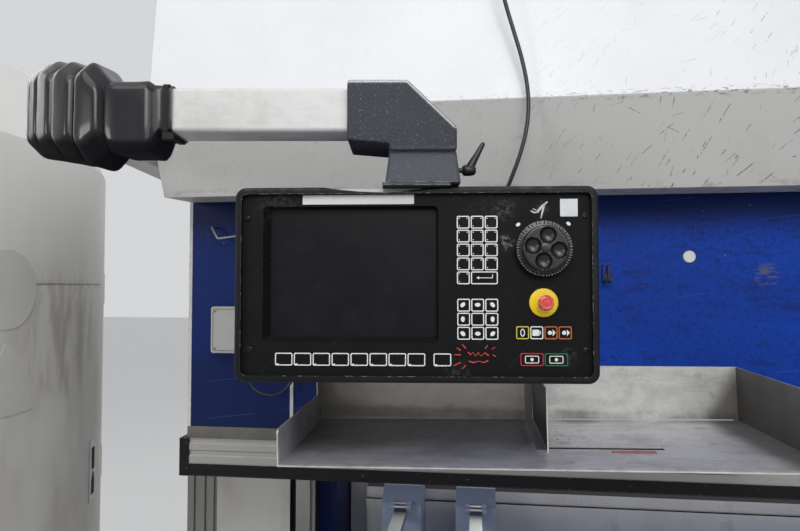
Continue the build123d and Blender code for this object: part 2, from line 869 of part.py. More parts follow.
# Hooks on the ram's face: a bent rod at the left, and two prongs at the right
left_hook = (-1548, ram_front, ram_bottom + 490)
right_hook_x, right_hook_z = -613.5, ram_bottom + 390
with BuildPart() as ram_hooks:
    with BuildLine() as hook_line:
        FilletPolyline(
            left_hook,
            (left_hook[0], ram_front - 26, left_hook[2]),
            (left_hook[0] + 20, ram_front - 34, left_hook[2] - 30),
            (left_hook[0] + 70, ram_front - 34, left_hook[2] - 24),
            radius=6,
        )
    with BuildSketch(Plane(origin=left_hook, z_dir=(0, -1, 0))):
        Circle(2.5)
    sweep(path=hook_line.wires()[0])
    for prong_x in (right_hook_x - 5.5, right_hook_x + 5.5):
        with BuildLine() as prong_line:
            FilletPolyline(
                (prong_x, ram_front, right_hook_z),
                (prong_x, ram_front - 10, right_hook_z),
                (prong_x, ram_front - 10, right_hook_z - 36),
                (prong_x, ram_front - 32, right_hook_z - 36),
                (prong_x, ram_front - 34, right_hook_z - 18),
                radius=6,
            )
        with BuildSketch(Plane(origin=(prong_x, ram_front, right_hook_z), z_dir=(0, -1, 0))):
            Circle(2.5)
        sweep(path=prong_line.wires()[0])
ram_hooks.part.label = "ram_hooks"
export_step(ram_hooks.part, "parts/ram_hooks.step")

# Plug in the ram's tooling hole
with BuildPart() as hole_plug:
    with BuildSketch(front_plane(ram_front + 22)):
        with Locations((plug_x, plug_z)):
            Circle(plug_radius)
    extrude(amount=22)
    with BuildSketch(front_plane(ram_front)):
        with Locations((plug_x, plug_z)):
            Circle(plug_radius + 1.5)
    extrude(amount=3)
    fillet(hole_plug.faces().sort_by(Axis.Y)[0].edges(), 2)
hole_plug.part.label = "hole_plug"
export_step(hole_plug.part, "parts/hole_plug.step")

# Junction box with its lid, and the glands of the short cable beside it
box_x = (-1533, -1432)
box_z = (ram_bottom + 187, ram_bottom + 295)
box_depth = 55
ram_cable_start = (box_x[1] - 22, ram_front - 28, box_z[0] - 14)
ram_cable_end = (-1330, ram_front - 28, ram_bottom + 190)
with BuildPart() as junction_box:
    block(box_x, (ram_front - box_depth + 14, ram_front), box_z)
    fillet(junction_box.edges().filter_by(Axis.Y), 5)
    with BuildSketch(front_plane(ram_front - box_depth + 14)):
        with Locations(((box_x[0] + box_x[1]) / 2, (box_z[0] + box_z[1]) / 2)):
            RectangleRounded(box_x[1] - box_x[0] + 2, box_z[1] - box_z[0] + 2, 6)
    extrude(amount=14)
    fillet(junction_box.faces().sort_by(Axis.Y)[0].edges(), 2)
    start_x, start_y, start_z = ram_cable_start
    post(start_x, start_y, (start_z, start_z + 14), 8)
    post(start_x, start_y, (start_z, start_z + 6), ram_cable_radius, Mode.SUBTRACT)
    end_x, end_y, end_z = ram_cable_end
    block((end_x - 11, end_x + 11), (end_y - 11, ram_front), (end_z + 12, end_z + 38))
    post(end_x, end_y, (end_z, end_z + 12), 8)
    post(end_x, end_y, (end_z, end_z + 6), ram_cable_radius, Mode.SUBTRACT)
junction_box.part.label = "junction_box"
export_step(junction_box.part, "parts/junction_box.step")

# Outer arm: the long tube, the fork that turns on the elbow pin, and the rubber bellows over it
outer_arm_start = bend_start - 24
with BuildPart() as outer_arm:
    with BuildSketch(arm_cross(outer_arm_start)):
        with Locations((0, arm_level)):
            RectangleRounded(arm_tube, arm_tube, 6)
            RectangleRounded(arm_tube - 2 * arm_wall, arm_tube - 2 * arm_wall, 2, mode=Mode.SUBTRACT)
    extrude(amount=-knuckle_reach - outer_arm_start)
outer_arm.part.label = "outer_arm"
export_step(outer_arm.part, "parts/outer_arm.step")

fork_plate = 10
fork_end = outer_arm_start - end_plate
fork_low, fork_high = link_low - fork_plate, link_high + fork_plate
fork_outline = [
    (fork_end, -link_half),
    (fork_end, link_half),
    (pin_along + link_half * 0.5, pin_back + link_half * 0.87),
    (pin_along - link_half * 0.5, pin_back - link_half * 0.87),
]
elbow_pin = arm_spot(pin_along, pin_back)
with BuildPart() as elbow_fork:
    for plate_low in (fork_low, link_high):
        with BuildSketch(arm_plan(plate_low)):
            Polygon(*fork_outline, align=None)
            with Locations((pin_along, pin_back)):
                Circle(link_half)
                Circle(elbow_pin_radius, mode=Mode.SUBTRACT)
        extrude(amount=fork_plate)
    arm_block(
        (fork_end, outer_arm_start),
        (-link_half - 4, link_half + 4),
        (arm_level - half_tube, fork_high),
    )
    post(elbow_pin.X, elbow_pin.Y, (fork_low, fork_high), elbow_pin_radius)
    post(elbow_pin.X, elbow_pin.Y, (fork_high, fork_high + 7), elbow_pin_radius + 6)
elbow_fork.part.label = "elbow_fork"
export_step(elbow_fork.part, "parts/elbow_fork.step")

bellows_wall = 3
collar_half = half_tube + 3.5
neck_half_deep, neck_half_tall = 46, 51.5
body_half_deep, body_half_tall = 58, 77
pleat_depth = 9
pleat_angle = 10.3
pleat_count = 9
first_pleat = 6
body_level = arm_level - 10.5


def bellows_section(angle, along, half_deep, half_tall, corner):
    """One ring of the bellows: its plane, half sizes and cut corners. At 0 degrees the ring lies on the
    outer arm's line, at 90 on the inner arm's, and between them on the bend. The collars are level with
    their arms, and the pleats hang a little lower on the outer arm's side."""
    turn = radians(angle)
    on_outer_arm = angle == 0 and half_tall == collar_half
    lift = (inner_arm_level - body_level) * angle / 90
    centre = arm_spot(
        bend_start - elbow_radius * sin(turn),
        elbow_radius - elbow_radius * cos(turn),
        arm_level if on_outer_arm else body_level + lift,
    )
    forward = arm_back * sin(turn) - arm_way * cos(turn)
    outward = arm_way * -sin(turn) - arm_back * cos(turn)
    ring_plane = Plane(origin=centre + forward * along, x_dir=outward, z_dir=forward)
    return ring_plane, half_deep, half_tall, corner


def bellows_rings():
    rings = [
        bellows_section(0, -110.7, collar_half, collar_half, 5),
        bellows_section(0, -92.7, collar_half, collar_half, 5),
        bellows_section(0, -81.7, neck_half_deep, neck_half_tall, 12),
        bellows_section(0, -28, neck_half_deep, neck_half_tall, 12),
    ]
    for pleat in range(pleat_count):
        ridge = first_pleat + pleat * pleat_angle
        squeeze = 12 * sin(2 * radians(ridge))
        deep = body_half_deep - squeeze
        rings.append(bellows_section(ridge, 0, deep, body_half_tall, 26))
        valley = ridge + pleat_angle / 2
        if pleat < pleat_count - 1:
            rings.append(bellows_section(valley, 0, deep - pleat_depth, body_half_tall - pleat_depth, 22))
    rings += [
        bellows_section(90, 14, neck_half_deep, neck_half_tall, 12),
        bellows_section(90, 52, neck_half_deep, neck_half_tall, 12),
        bellows_section(90, 60, collar_half, collar_half, 5),
        bellows_section(90, 92, collar_half, collar_half, 5),
    ]
    return rings


def ring_points(half_deep, half_tall, corner):
    return [
        (half_deep, -half_tall + corner),
        (half_deep, half_tall - corner),
        (half_deep - corner, half_tall),
        (-half_deep + corner, half_tall),
        (-half_deep, half_tall - corner),
        (-half_deep, -half_tall + corner),
        (-half_deep + corner, -half_tall),
        (half_deep - corner, -half_tall),
    ]


with BuildPart() as bellows:
    for ring_plane, half_deep, half_tall, corner in bellows_rings():
        with BuildSketch(ring_plane):
            Polygon(*ring_points(half_deep, half_tall, corner), align=None)
    loft(ruled=True)
    for ring_plane, half_deep, half_tall, corner in bellows_rings():
        with BuildSketch(ring_plane):
            Polygon(
                *ring_points(half_deep - bellows_wall, half_tall - bellows_wall, corner - 1),
                align=None,
            )
    loft(ruled=True, mode=Mode.SUBTRACT)
bellows.part.label = "bellows"
export_step(bellows.part, "parts/bellows.step")

# Knuckle: a cast elbow at the arm's end, sloping at its upper right, bored for the panel's spigot
knuckle_top = arm_level + 38.4
knuckle_right, knuckle_notch = 48, -47.9
with BuildPart() as knuckle:
    with BuildSketch(arm_side(knuckle_depth / 2)):
        Polygon(
            (-knuckle_reach, arm_level - 48.4),
            (-knuckle_reach, knuckle_top),
            (knuckle_right - 69.8, knuckle_top),
            (knuckle_right, arm_level - 28.8),
            (knuckle_right, split_level),
            (knuckle_notch, split_level),
            (knuckle_notch, arm_level - 53.5),
            align=None,
        )
    extrude(amount=knuckle_depth)
    fillet(knuckle.edges().filter_by(Axis((0, 0, 0), arm_back)), 4)
    fillet(knuckle.faces().sort_by(Axis.Y)[0].edges(), 3)
    bore_z = (split_level, split_level + spigot_length + 6)
    post(coupling_x, arm_y, bore_z, spigot_radius + slide_clearance, Mode.SUBTRACT)
knuckle.part.label = "knuckle"
export_step(knuckle.part, "parts/knuckle.step")

# Swivel coupling: a flared casting on the panel's top, turning on its spigot
lever_z = coupling_bottom + 24.5
lever_pin_radius = 5
with BuildPart() as swivel_coupling:
    with BuildSketch(arm_plan(coupling_bottom)):
        RectangleRounded(108, 86, 6)
    with BuildSketch(arm_plan(coupling_top)):
        RectangleRounded(96, 80, 5)
    loft()
    with BuildSketch(arm_plan(panel_top)):
        with Locations((-9, 2)):
            RectangleRounded(98, 88, 3)
    extrude(amount=coupling_plate)
    post(coupling_x, arm_y, (coupling_top, coupling_top + spigot_length), spigot_radius)
    with BuildSketch(arm_cross(60)):
        with Locations((0, lever_z)):
            Circle(lever_pin_radius + slide_clearance)
    extrude(amount=-26, mode=Mode.SUBTRACT)
swivel_coupling.part.label = "swivel_coupling"
export_step(swivel_coupling.part, "parts/swivel_coupling.step")

lever_hub = 61
lever_tilt = radians(22)
lever_foot = arm_spot(lever_hub + 12, 0, lever_z + 3)
lever_way = arm_way * sin(lever_tilt) + Vector(0, 0, cos(lever_tilt))
with BuildPart() as clamp_lever:
    with BuildSketch(arm_cross(lever_hub - 23)):
        with Locations((0, lever_z)):
            Circle(lever_pin_radius)
    extrude(amount=25)
    with BuildSketch(arm_cross(lever_hub)):
        with Locations((0, lever_z)):
            Circle(10)
    extrude(amount=20, taper=6)
    with BuildSketch(Plane(origin=lever_foot, z_dir=lever_way)):
        Circle(6.5)
    with BuildSketch(Plane(origin=lever_foot + lever_way * lever_length, z_dir=lever_way)):
        Circle(4)
    loft()
clamp_lever.part.label = "clamp_lever"
export_step(clamp_lever.part, "parts/clamp_lever.step")

# Control panel: everything on it is drawn on the panel's own plane, turned a little about Z
panel_turned = radians(panel_turn)


def panel_plane(out):
    """The panel's face plane moved outwards: sketches have the panel's width and height as their axes."""
    normal = Vector(sin(panel_turned), -cos(panel_turned), 0)
    origin = Vector(panel_x, panel_y, panel_level) + normal * out
    return Plane(origin=origin, x_dir=(cos(panel_turned), sin(panel_turned), 0), z_dir=normal)


opening_width = panel_width - 2 * rim_width
opening_height = panel_height - 2 * rim_width
face_thickness = 4
ledge = 8
dip_left, dip_right, dip_depth = -135, 60, 8.5
dip_radius = ((dip_right - dip_left) ** 2 / 4 + dip_depth**2) / (2 * dip_depth)
with BuildPart() as panel_bezel:
    with BuildSketch(panel_plane(-bezel_depth)):
        RectangleRounded(panel_width, panel_height, 16)
    extrude(amount=bezel_depth)
    fillet(panel_bezel.faces().sort_by(Axis.Y)[0].edges(), 5)
    with BuildSketch(panel_plane(-rim_depth - face_thickness)):
        RectangleRounded(opening_width, opening_height, 8)
    extrude(amount=rim_depth + face_thickness, mode=Mode.SUBTRACT)
    with BuildSketch(panel_plane(-bezel_depth)):
        RectangleRounded(opening_width - 2 * ledge, opening_height - 2 * ledge, 5)
    extrude(amount=bezel_depth, mode=Mode.SUBTRACT)
    with BuildSketch(panel_plane(-bezel_depth / 2)):
        with Locations(((dip_left + dip_right) / 2, panel_height / 2 + dip_radius - dip_depth)):
            Circle(dip_radius)
    extrude(amount=bezel_depth, mode=Mode.SUBTRACT)
panel_bezel.part.label = "panel_bezel"
export_step(panel_bezel.part, "parts/panel_bezel.step")

screen_left, screen_right, screen_low, screen_high = -222, 34, -84.2, 113.8
glass_left, glass_right, glass_low, glass_high = -213.5, 31.5, -76.5, 111.5
screen_corner = 7
screen_sink = 14
wheel_place = (183.8, 50.8)
estop_place = (184.3, -26.2)
wheel_shaft = 6
estop_stem = 8
face_out = -rim_depth


def between(left, right, low, high):
    return (left + right) / 2, (low + high) / 2


with BuildPart() as panel_face:
    with BuildSketch(panel_plane(face_out - face_thickness)):
        RectangleRounded(opening_width, opening_height, 8)
    extrude(amount=face_thickness)
    with BuildSketch(panel_plane(face_out - screen_sink)):
        with Locations(between(screen_left, screen_right, screen_low, screen_high)):
            Rectangle(screen_right - screen_left + 14, screen_high - screen_low + 5)
    extrude(amount=screen_sink - face_thickness)
    with BuildSketch(panel_plane(face_out)):
        with Locations(between(screen_left, screen_right, screen_low, screen_high)):
            RectangleRounded(screen_right - screen_left, screen_high - screen_low, screen_corner)
    with BuildSketch(panel_plane(face_out - screen_sink)):
        with Locations(between(glass_left, glass_right, glass_low, glass_high)):
            RectangleRounded(glass_right - glass_left, glass_high - glass_low, screen_corner - 2)
    loft(mode=Mode.SUBTRACT)
    with BuildSketch(panel_plane(face_out)):
        with Locations(wheel_place):
            Circle(wheel_shaft + slide_clearance)
        with Locations(estop_place):
            Circle(estop_stem + slide_clearance)
    extrude(amount=-face_thickness, mode=Mode.SUBTRACT)
panel_face.part.label = "panel_face"
export_step(panel_face.part, "parts/panel_face.step")

with BuildPart() as screen_glass:
    with BuildSketch(panel_plane(face_out - screen_sink - 4)):
        with Locations(between(glass_left, glass_right, glass_low, glass_high)):
            Rectangle(glass_right - glass_left + 8, glass_high - glass_low + 8)
    extrude(amount=4)
screen_glass.part.label = "screen_glass"
export_step(screen_glass.part, "parts/screen_glass.step")

# Keys: slightly raised fields of one printed film, in the blocks that the panel has
number_left, number_top = 69.9, 89.8
cursor_left, cursor_low = 70.2, -70.1
function_left, function_level = -190.3, -108.3
function_pitch = 27.5
end_key_x = 39.5
colour_left, colour_level = 154.1, -69.1
wide_left, wide_right, wide_level = 167.2, 201.6, -107.3
key_height = 0.8
function_key = 25.4
wide_key = 33
key_fields = []
for column in range(3):
    key_x = column * key_pitch
    key_fields += [(number_left + key_x, number_top - row * key_pitch, key_size) for row in range(4)]
    key_fields += [(cursor_left + key_x, cursor_low + row * key_pitch, key_size) for row in range(3)]
last_row = number_top - 4 * key_pitch
key_fields.append((number_left, last_row, key_size))
key_fields.append((number_left + 1.5 * key_pitch, last_row, key_size + key_pitch))
for column in range(8):
    key_fields.append((function_left + column * function_pitch, function_level, function_key))
key_fields.append((end_key_x, function_level, function_key))
for column in range(4):
    key_fields.append((colour_left + column * key_pitch, colour_level, key_size))
for wide_x in (wide_left, wide_right):
    key_fields.append((wide_x, wide_level, wide_key))
with BuildPart() as keypad:
    with BuildSketch(panel_plane(face_out)):
        for key_x, key_y, key_width in key_fields:
            with Locations((key_x, key_y)):
                Rectangle(key_width, key_size)
    extrude(amount=key_height)
keypad.part.label = "keypad"
export_step(keypad.part, "parts/keypad.step")

# Rear housing: a tapered sheet box with cooling slots, open towards the bezel
with BuildPart() as panel_housing:
    for inset, mode in ((0, Mode.ADD), (sheet, Mode.SUBTRACT)):
        with BuildSketch(panel_plane(-bezel_depth)):
            RectangleRounded(panel_width - 26 - 2 * inset, panel_height - 26 - 2 * inset, 10)
        with BuildSketch(panel_plane(-bezel_depth - housing_depth + inset)):
            RectangleRounded(panel_width - 84 - 2 * inset, panel_height - 60 - 2 * inset, 10)
        loft(mode=mode)
    with BuildSketch(panel_plane(-bezel_depth - housing_depth - 1)):
        with Locations(*[(-90 + 20 * n, 40) for n in range(10)]):
            SlotOverall(70, 6, rotation=90)
    extrude(amount=sheet + 2, mode=Mode.SUBTRACT)
panel_housing.part.label = "panel_housing"
export_step(panel_housing.part, "parts/panel_housing.step")

estop_collar_height = 3
with BuildPart() as estop_collar:
    with BuildSketch(panel_plane(face_out)):
        with Locations(estop_place):
            Circle(20.5)
            Circle(estop_stem + slide_clearance, mode=Mode.SUBTRACT)
    extrude(amount=estop_collar_height)
estop_collar.part.label = "estop_collar"
export_step(estop_collar.part, "parts/estop_collar.step")

estop_head = face_out + estop_collar_height + estop_travel + 6
with BuildPart() as estop_button:
    with BuildSketch(panel_plane(face_out - 12)):
        with Locations(estop_place):
            Circle(estop_stem)
    extrude(amount=estop_head - face_out + 12)
    with BuildSketch(panel_plane(estop_head)):
        with Locations(estop_place):
            Circle(estop_radius)
    extrude(amount=13)
    fillet(estop_button.faces().sort_by(Axis.Y)[0].edges(), 4)
estop_button.part.label = "estop_button"
export_step(estop_button.part, "parts/estop_button.step")

# Handwheel: a toothed rim under a smooth face with four finger hollows
wheel_low = face_out + 1
wheel_teeth = 40
with BuildPart() as handwheel:
    with BuildSketch(panel_plane(wheel_low)):
        with Locations(wheel_place):
            Circle(handwheel_radius)
            with PolarLocations(handwheel_radius, wheel_teeth):
                Rectangle(5, 2.4, mode=Mode.SUBTRACT)
    extrude(amount=13)
    with BuildSketch(panel_plane(wheel_low + 13)):
        with Locations(wheel_place):
            Circle(handwheel_radius - 7)
    extrude(amount=10)
    fillet(handwheel.faces().sort_by(Axis.Y)[0].edges(), 3)
    with BuildSketch(panel_plane(wheel_low + 23)):
        with Locations(wheel_place):
            with PolarLocations(18, 4, start_angle=75):
                Circle(9.5)
    extrude(amount=-9, taper=12, mode=Mode.SUBTRACT)
    with BuildSketch(panel_plane(face_out - 14)):
        with Locations(wheel_place):
            Circle(wheel_shaft)
    extrude(amount=wheel_low - face_out + 14)
handwheel.part.label = "handwheel"
export_step(handwheel.part, "parts/handwheel.step")

# Back gauge: rails along the uprights, towers that run on them, a beam and two finger carriages
rail_x = upright_inner - 35
rail_half = 10
gauge_rail_y = (-60, upright_back - 40)
with BuildPart() as gauge_rails:
    for side in (-1, 1):
        block(
            (side * (upright_inner - 65), side * upright_inner),
            gauge_rail_y,
            (gauge_rail_level - 45, gauge_rail_level - 20),
        )
        block(
            (side * (rail_x - rail_half), side * (rail_x + rail_half)),
            gauge_rail_y,
            (gauge_rail_level - 20, gauge_rail_level + 20),
        )
gauge_rails.part.label = "gauge_rails"
export_step(gauge_rails.part, "parts/gauge_rails.step")

tower_y = (40, 120)
tower_top = gauge_level + gauge_beam_height + 80
saddle_top = gauge_rail_level + 55
with BuildPart() as gauge_towers:
    for side in (-1, 1):
        block(
            (side * (rail_x - 32), side * (rail_x + 32)),
            (0, 160),
            (gauge_rail_level - 12, saddle_top),
        )
        block(
            (side * (rail_x - rail_half - running_gap), side * (rail_x + rail_half + running_gap)),
            (0, 160),
            (gauge_rail_level - 12, gauge_rail_level + 20 + running_gap),
            Mode.SUBTRACT,
        )
        block((side * (rail_x - 32), side * (rail_x + 28)), tower_y, (saddle_top, tower_top))
    block((-rail_x + 32, rail_x - 32), (50, 110), (gauge_rail_level + 25, saddle_top))
gauge_towers.part.label = "gauge_towers"
export_step(gauge_towers.part, "parts/gauge_towers.step")

beam_half = rail_x - 40
beam_y = (-60, tower_y[0] - running_gap)
beam_top = gauge_level + gauge_beam_height
finger_rail_z = (beam_top - 60, beam_top - 36)
with BuildPart() as gauge_beam:
    block((-beam_half, beam_half), (beam_y[0], beam_y[1] - 8), (gauge_level, beam_top))
    block((-beam_half, beam_half), (beam_y[0] - 12, beam_y[0]), finger_rail_z)
    for side in (-1, 1):
        block(
            (side * beam_half, side * (rail_x + 28)),
            (beam_y[1] - 30, beam_y[1]),
            (gauge_level - 10, beam_top + 10),
        )
        block(
            (side * (beam_half - 60), side * beam_half),
            (beam_y[1] - 8, beam_y[1]),
            (gauge_level, beam_top),
        )
gauge_beam.part.label = "gauge_beam"
export_step(gauge_beam.part, "parts/gauge_beam.step")

carriage_back = beam_y[0] - running_gap
carriage_front = carriage_back - 160
carriage_low = gauge_level + 20
carriage_top = beam_top + 45
finger_z = (beam_top - 30, beam_top - 8)
hinge_y, hinge_z = carriage_front - 14, beam_top + 2
finger_half = 18
finger_pin_radius = 5


def finger_carriage(place):
    """A carriage body that hangs on the beam's rail, with two ears for the finger's pin."""
    half = carriage_width / 2
    with BuildPart() as carriage:
        with BuildSketch(side_plane(place - half)):
            Polygon(
                (carriage_back, carriage_low),
                (carriage_back, carriage_top - 22),
                (carriage_back - 22, carriage_top),
                (carriage_front + 50, carriage_top),
                (carriage_front, carriage_top - 40),
                (carriage_front, carriage_low),
                align=None,
            )
        extrude(amount=carriage_width)
        block(
            (place - half, place + half),
            (carriage_back - 12, carriage_back),
            (finger_rail_z[0] - running_gap, finger_rail_z[1] + running_gap),
            Mode.SUBTRACT,
        )
        for ear in (-1, 1):
            ear_x = (place + ear * (finger_half + running_gap), place + ear * (finger_half + 14))
            block(ear_x, (hinge_y, carriage_front), (hinge_z - 12, hinge_z + 12))
            with BuildSketch(side_plane(min(ear_x))):
                with Locations((hinge_y, hinge_z)):
                    Circle(12)
            extrude(amount=abs(ear_x[1] - ear_x[0]))
        with BuildSketch(side_plane(place - finger_half - 14)):
            with Locations((hinge_y, hinge_z)):
                Circle(finger_pin_radius)
        extrude(amount=2 * finger_half + 28)
    return carriage.part


def stop_finger(place):
    """A flip-up finger: a bored knuckle, a flat arm and a stepped stop at its front end."""
    tip_y = hinge_y - finger_length
    with BuildPart() as finger:
        with BuildSketch(side_plane(place - finger_half)):
            Polygon(
                (hinge_y + 10, finger_z[0]),
                (tip_y, finger_z[0]),
                (tip_y, finger_z[1] - 8),
                (tip_y + 22, finger_z[1] - 8),
                (tip_y + 22, finger_z[1]),
                (hinge_y - 20, finger_z[1]),
                (hinge_y - 11, hinge_z),
                (hinge_y + 10, hinge_z),
                align=None,
            )
            with Locations((hinge_y, hinge_z)):
                Circle(11.5)
                Circle(finger_pin_radius + slide_clearance, mode=Mode.SUBTRACT)
        extrude(amount=2 * finger_half)
    return finger.part


with BuildPart() as left_carriage:
    add(finger_carriage(carriage_places[0]))
left_carriage.part.label = "left_carriage"
export_step(left_carriage.part, "parts/left_carriage.step")

with BuildPart() as right_carriage:
    add(finger_carriage(carriage_places[1]))
right_carriage.part.label = "right_carriage"
export_step(right_carriage.part, "parts/right_carriage.step")

with BuildPart() as left_finger:
    add(stop_finger(carriage_places[0]))
left_finger.part.label = "left_finger"
export_step(left_finger.part, "parts/left_finger.step")

with BuildPart() as right_finger:
    add(stop_finger(carriage_places[1]))
right_finger.part.label = "right_finger"
export_step(right_finger.part, "parts/right_finger.step")

# Cabinet: a sheet shell with a bowed right side and a sloping shoulder, its door at the back
bow_x = -(casing_outer + post_width + cabinet_gap) - cabinet_bow
bow_y = -770
cabinet_low = plinth_height + 20


def bowed_side(y):
    """The bowed side's X at a given Y, as far as the shell's outer face."""
    return bow_x + sqrt(cabinet_bow**2 - (y - bow_y) ** 2)


def cabinet_outline(inset):
    """The shell's plan as an open chain: front, bowed right side, back and left side."""
    front, back, left = cabinet_front + inset, cabinet_back - inset, cabinet_left + inset
    front_right = (bowed_side(cabinet_front) - inset, front)
    back_right = (bowed_side(cabinet_back) - inset, back)
    middle = (bow_x + cabinet_bow - inset, bow_y)
    with BuildLine() as plan:
        Polyline(back_right, (left, back), (left, front), front_right)
        ThreePointArc(front_right, middle, back_right)
    return plan.line


door_x = (cabinet_left + 25, bowed_side(cabinet_back) - 14)
door_z = (cabinet_low + 40, cabinet_shoulder - 30)
hinge_x, hinge_axis_y = door_x[1] + hinge_radius + 1, cabinet_back + 12
hinge_levels = (520, 1130, 1740)
knuckle_tall = 36
with BuildPart() as cabinet_shell:
    with BuildSketch(level(cabinet_low)):
        with BuildLine():
            add(cabinet_outline(0))
        make_face()
    extrude(amount=cabinet_shoulder - cabinet_low)
    shoulder_rise = cabinet_top - cabinet_shoulder
    with BuildSketch(level(cabinet_shoulder)):
        with BuildLine():
            add(cabinet_outline(0))
        make_face()
    extrude(amount=shoulder_rise, taper=24)
    with BuildSketch(level(cabinet_low + sheet)):
        with BuildLine():
            add(cabinet_outline(sheet))
        make_face()
    extrude(amount=cabinet_shoulder - cabinet_low - 2 * sheet, mode=Mode.SUBTRACT)
    with BuildSketch(level(cabinet_shoulder - sheet)):
        with BuildLine():
            add(cabinet_outline(sheet))
        make_face()
    extrude(amount=shoulder_rise, taper=24, mode=Mode.SUBTRACT)
    block(
        (door_x[0] + 30, door_x[1] - 30),
        (cabinet_back - 2 * sheet, cabinet_back + sheet),
        (door_z[0] + 30, door_z[1] - 30),
        Mode.SUBTRACT,
    )
    for hinge_level in hinge_levels:
        for part_of_hinge in (-1, 1):
            leaf_low = hinge_level + part_of_hinge * (knuckle_tall + running_gap) - knuckle_tall / 2
            leaf_z = (leaf_low, leaf_low + knuckle_tall)
            post(hinge_x, hinge_axis_y, leaf_z, hinge_radius)
            block((hinge_x - 4, hinge_x + 4), (cabinet_back - 1, hinge_axis_y), leaf_z)
        pin_z = (hinge_level - knuckle_tall, hinge_level + knuckle_tall)
        post(hinge_x, hinge_axis_y, pin_z, hinge_pin_radius)
cabinet_shell.part.label = "cabinet_shell"
export_step(cabinet_shell.part, "parts/cabinet_shell.step")

plinth_y = (cabinet_front + 30, cabinet_back - 200)
plinth_x = (cabinet_left + 30, bowed_side(plinth_y[1]) - 20)
plinth_wall = 40
foot_radius = 26
foot_height = 20
with BuildPart() as cabinet_plinth:
    block(plinth_x, plinth_y, (foot_height, cabinet_low))
    block(
        (plinth_x[0] + plinth_wall, plinth_x[1] - plinth_wall),
        (plinth_y[0] + plinth_wall, plinth_y[1] - plinth_wall),
        (foot_height, cabinet_low),
        Mode.SUBTRACT,
    )
    for foot_x in (plinth_x[0] + 30, plinth_x[1] - 30):
        for foot_y in (plinth_y[0] + 30, plinth_y[1] - 30):
            post(foot_x, foot_y, (0, cabinet_low), foot_radius)
cabinet_plinth.part.label = "cabinet_plinth"
export_step(cabinet_plinth.part, "parts/cabinet_plinth.step")

# Mounting plate inside the cabinet, with drives, contactors and wiring ducts on it
plate_y = cabinet_front + sheet + 30
plate_x = (cabinet_left + 60, bowed_side(cabinet_front) - 110)
with BuildPart() as mounting_plate:
    block(plate_x, (plate_y, plate_y + sheet), (320, 1900))
    for stud_x in (plate_x[0] + 40, plate_x[1] - 40):
        for stud_z in (360, 1860):
            block((stud_x - 8, stud_x + 8), (cabinet_front + sheet, plate_y), (stud_z - 8, stud_z + 8))
    for duct_z in (700, 1100, 1450, 1780):
        block((plate_x[0] + 20, plate_x[1] - 20), (plate_y + sheet, plate_y + 55), (duct_z, duct_z + 50))
    for drive in range(4):
        drive_x = plate_x[0] + 50 + drive * 110
        block((drive_x, drive_x + 90), (plate_y + sheet, plate_y + 190), (800, 1060))
    for contactor in range(7):
        contactor_x = plate_x[0] + 40 + contactor * 60
        block((contactor_x, contactor_x + 46), (plate_y + sheet, plate_y + 90), (1220, 1310))
        block((contactor_x, contactor_x + 36), (plate_y + sheet, plate_y + 70), (1590, 1680))
    block((plate_x[0] + 60, plate_x[0] + 330), (plate_y + sheet, plate_y + 160), (400, 620))
mounting_plate.part.label = "mounting_plate"
export_step(mounting_plate.part, "parts/mounting_plate.step")

# Door: a pan of folded sheet on three hinges, with a swing handle
handle_x, handle_z = door_x[0] + 45, 1120
with BuildPart() as cabinet_door:
    block(door_x, (cabinet_back + running_gap, cabinet_back + door_thickness), door_z)
    block(
        (door_x[0] + 2, door_x[1] - 2),
        (cabinet_back + running_gap, cabinet_back + door_thickness - 2),
        (door_z[0] + 2, door_z[1] - 2),
        Mode.SUBTRACT,
    )
    for hinge_level in hinge_levels:
        leaf_z = (hinge_level - knuckle_tall / 2, hinge_level + knuckle_tall / 2)
        post(hinge_x, hinge_axis_y, leaf_z, hinge_radius)
        block((door_x[1] - 2, hinge_x - 2), (hinge_axis_y - 4, hinge_axis_y + 4), leaf_z)
        post(hinge_x, hinge_axis_y, leaf_z, hinge_pin_radius + slide_clearance, Mode.SUBTRACT)
    with BuildSketch(front_plane(cabinet_back + door_thickness - 2)):
        with Locations((handle_x, handle_z)):
            RectangleRounded(44, 130, 8)
    extrude(amount=6)
    with BuildSketch(front_plane(cabinet_back + door_thickness)):
        with Locations((handle_x, handle_z)):
            Circle(8 + slide_clearance)
    extrude(amount=10, mode=Mode.SUBTRACT)
cabinet_door.part.label = "cabinet_door"
export_step(cabinet_door.part, "parts/cabinet_door.step")

door_face = cabinet_back + door_thickness
with BuildPart() as door_handle:
    with BuildSketch(front_plane(door_face + 14)):
        with Locations((handle_x, handle_z)):
            Circle(8)
    extrude(amount=28)
    with BuildSketch(front_plane(door_face + 22)):
        with Locations((handle_x, handle_z)):
            Circle(15)
        with Locations((handle_x, handle_z - 55)):
            RectangleRounded(22, 130, 10)
    extrude(amount=14)
door_handle.part.label = "door_handle"
export_step(door_handle.part, "parts/door_handle.step")

# Cable duct from the cabinet's bowed side to the left casing, low behind the corner post
duct_y = (casing_front + post_width + 8, cabinet_back - 10)
duct_z = (150, 250)
with BuildPart() as cable_duct:
    with BuildSketch(level(duct_z[0])):
        with BuildLine():
            duct_line = Polyline(
                (bowed_side(duct_y[0]), duct_y[0]),
                (-casing_outer, duct_y[0]),
                (-casing_outer, duct_y[1]),
                (bowed_side(duct_y[1]), duct_y[1]),
            )
            duct_mid = (duct_y[0] + duct_y[1]) / 2
            ThreePointArc(duct_line @ 1, (bowed_side(duct_mid), duct_mid), duct_line @ 0)
        make_face()
    extrude(amount=duct_z[1] - duct_z[0])
cable_duct.part.label = "cable_duct"
export_step(cable_duct.part, "parts/cable_duct.step")


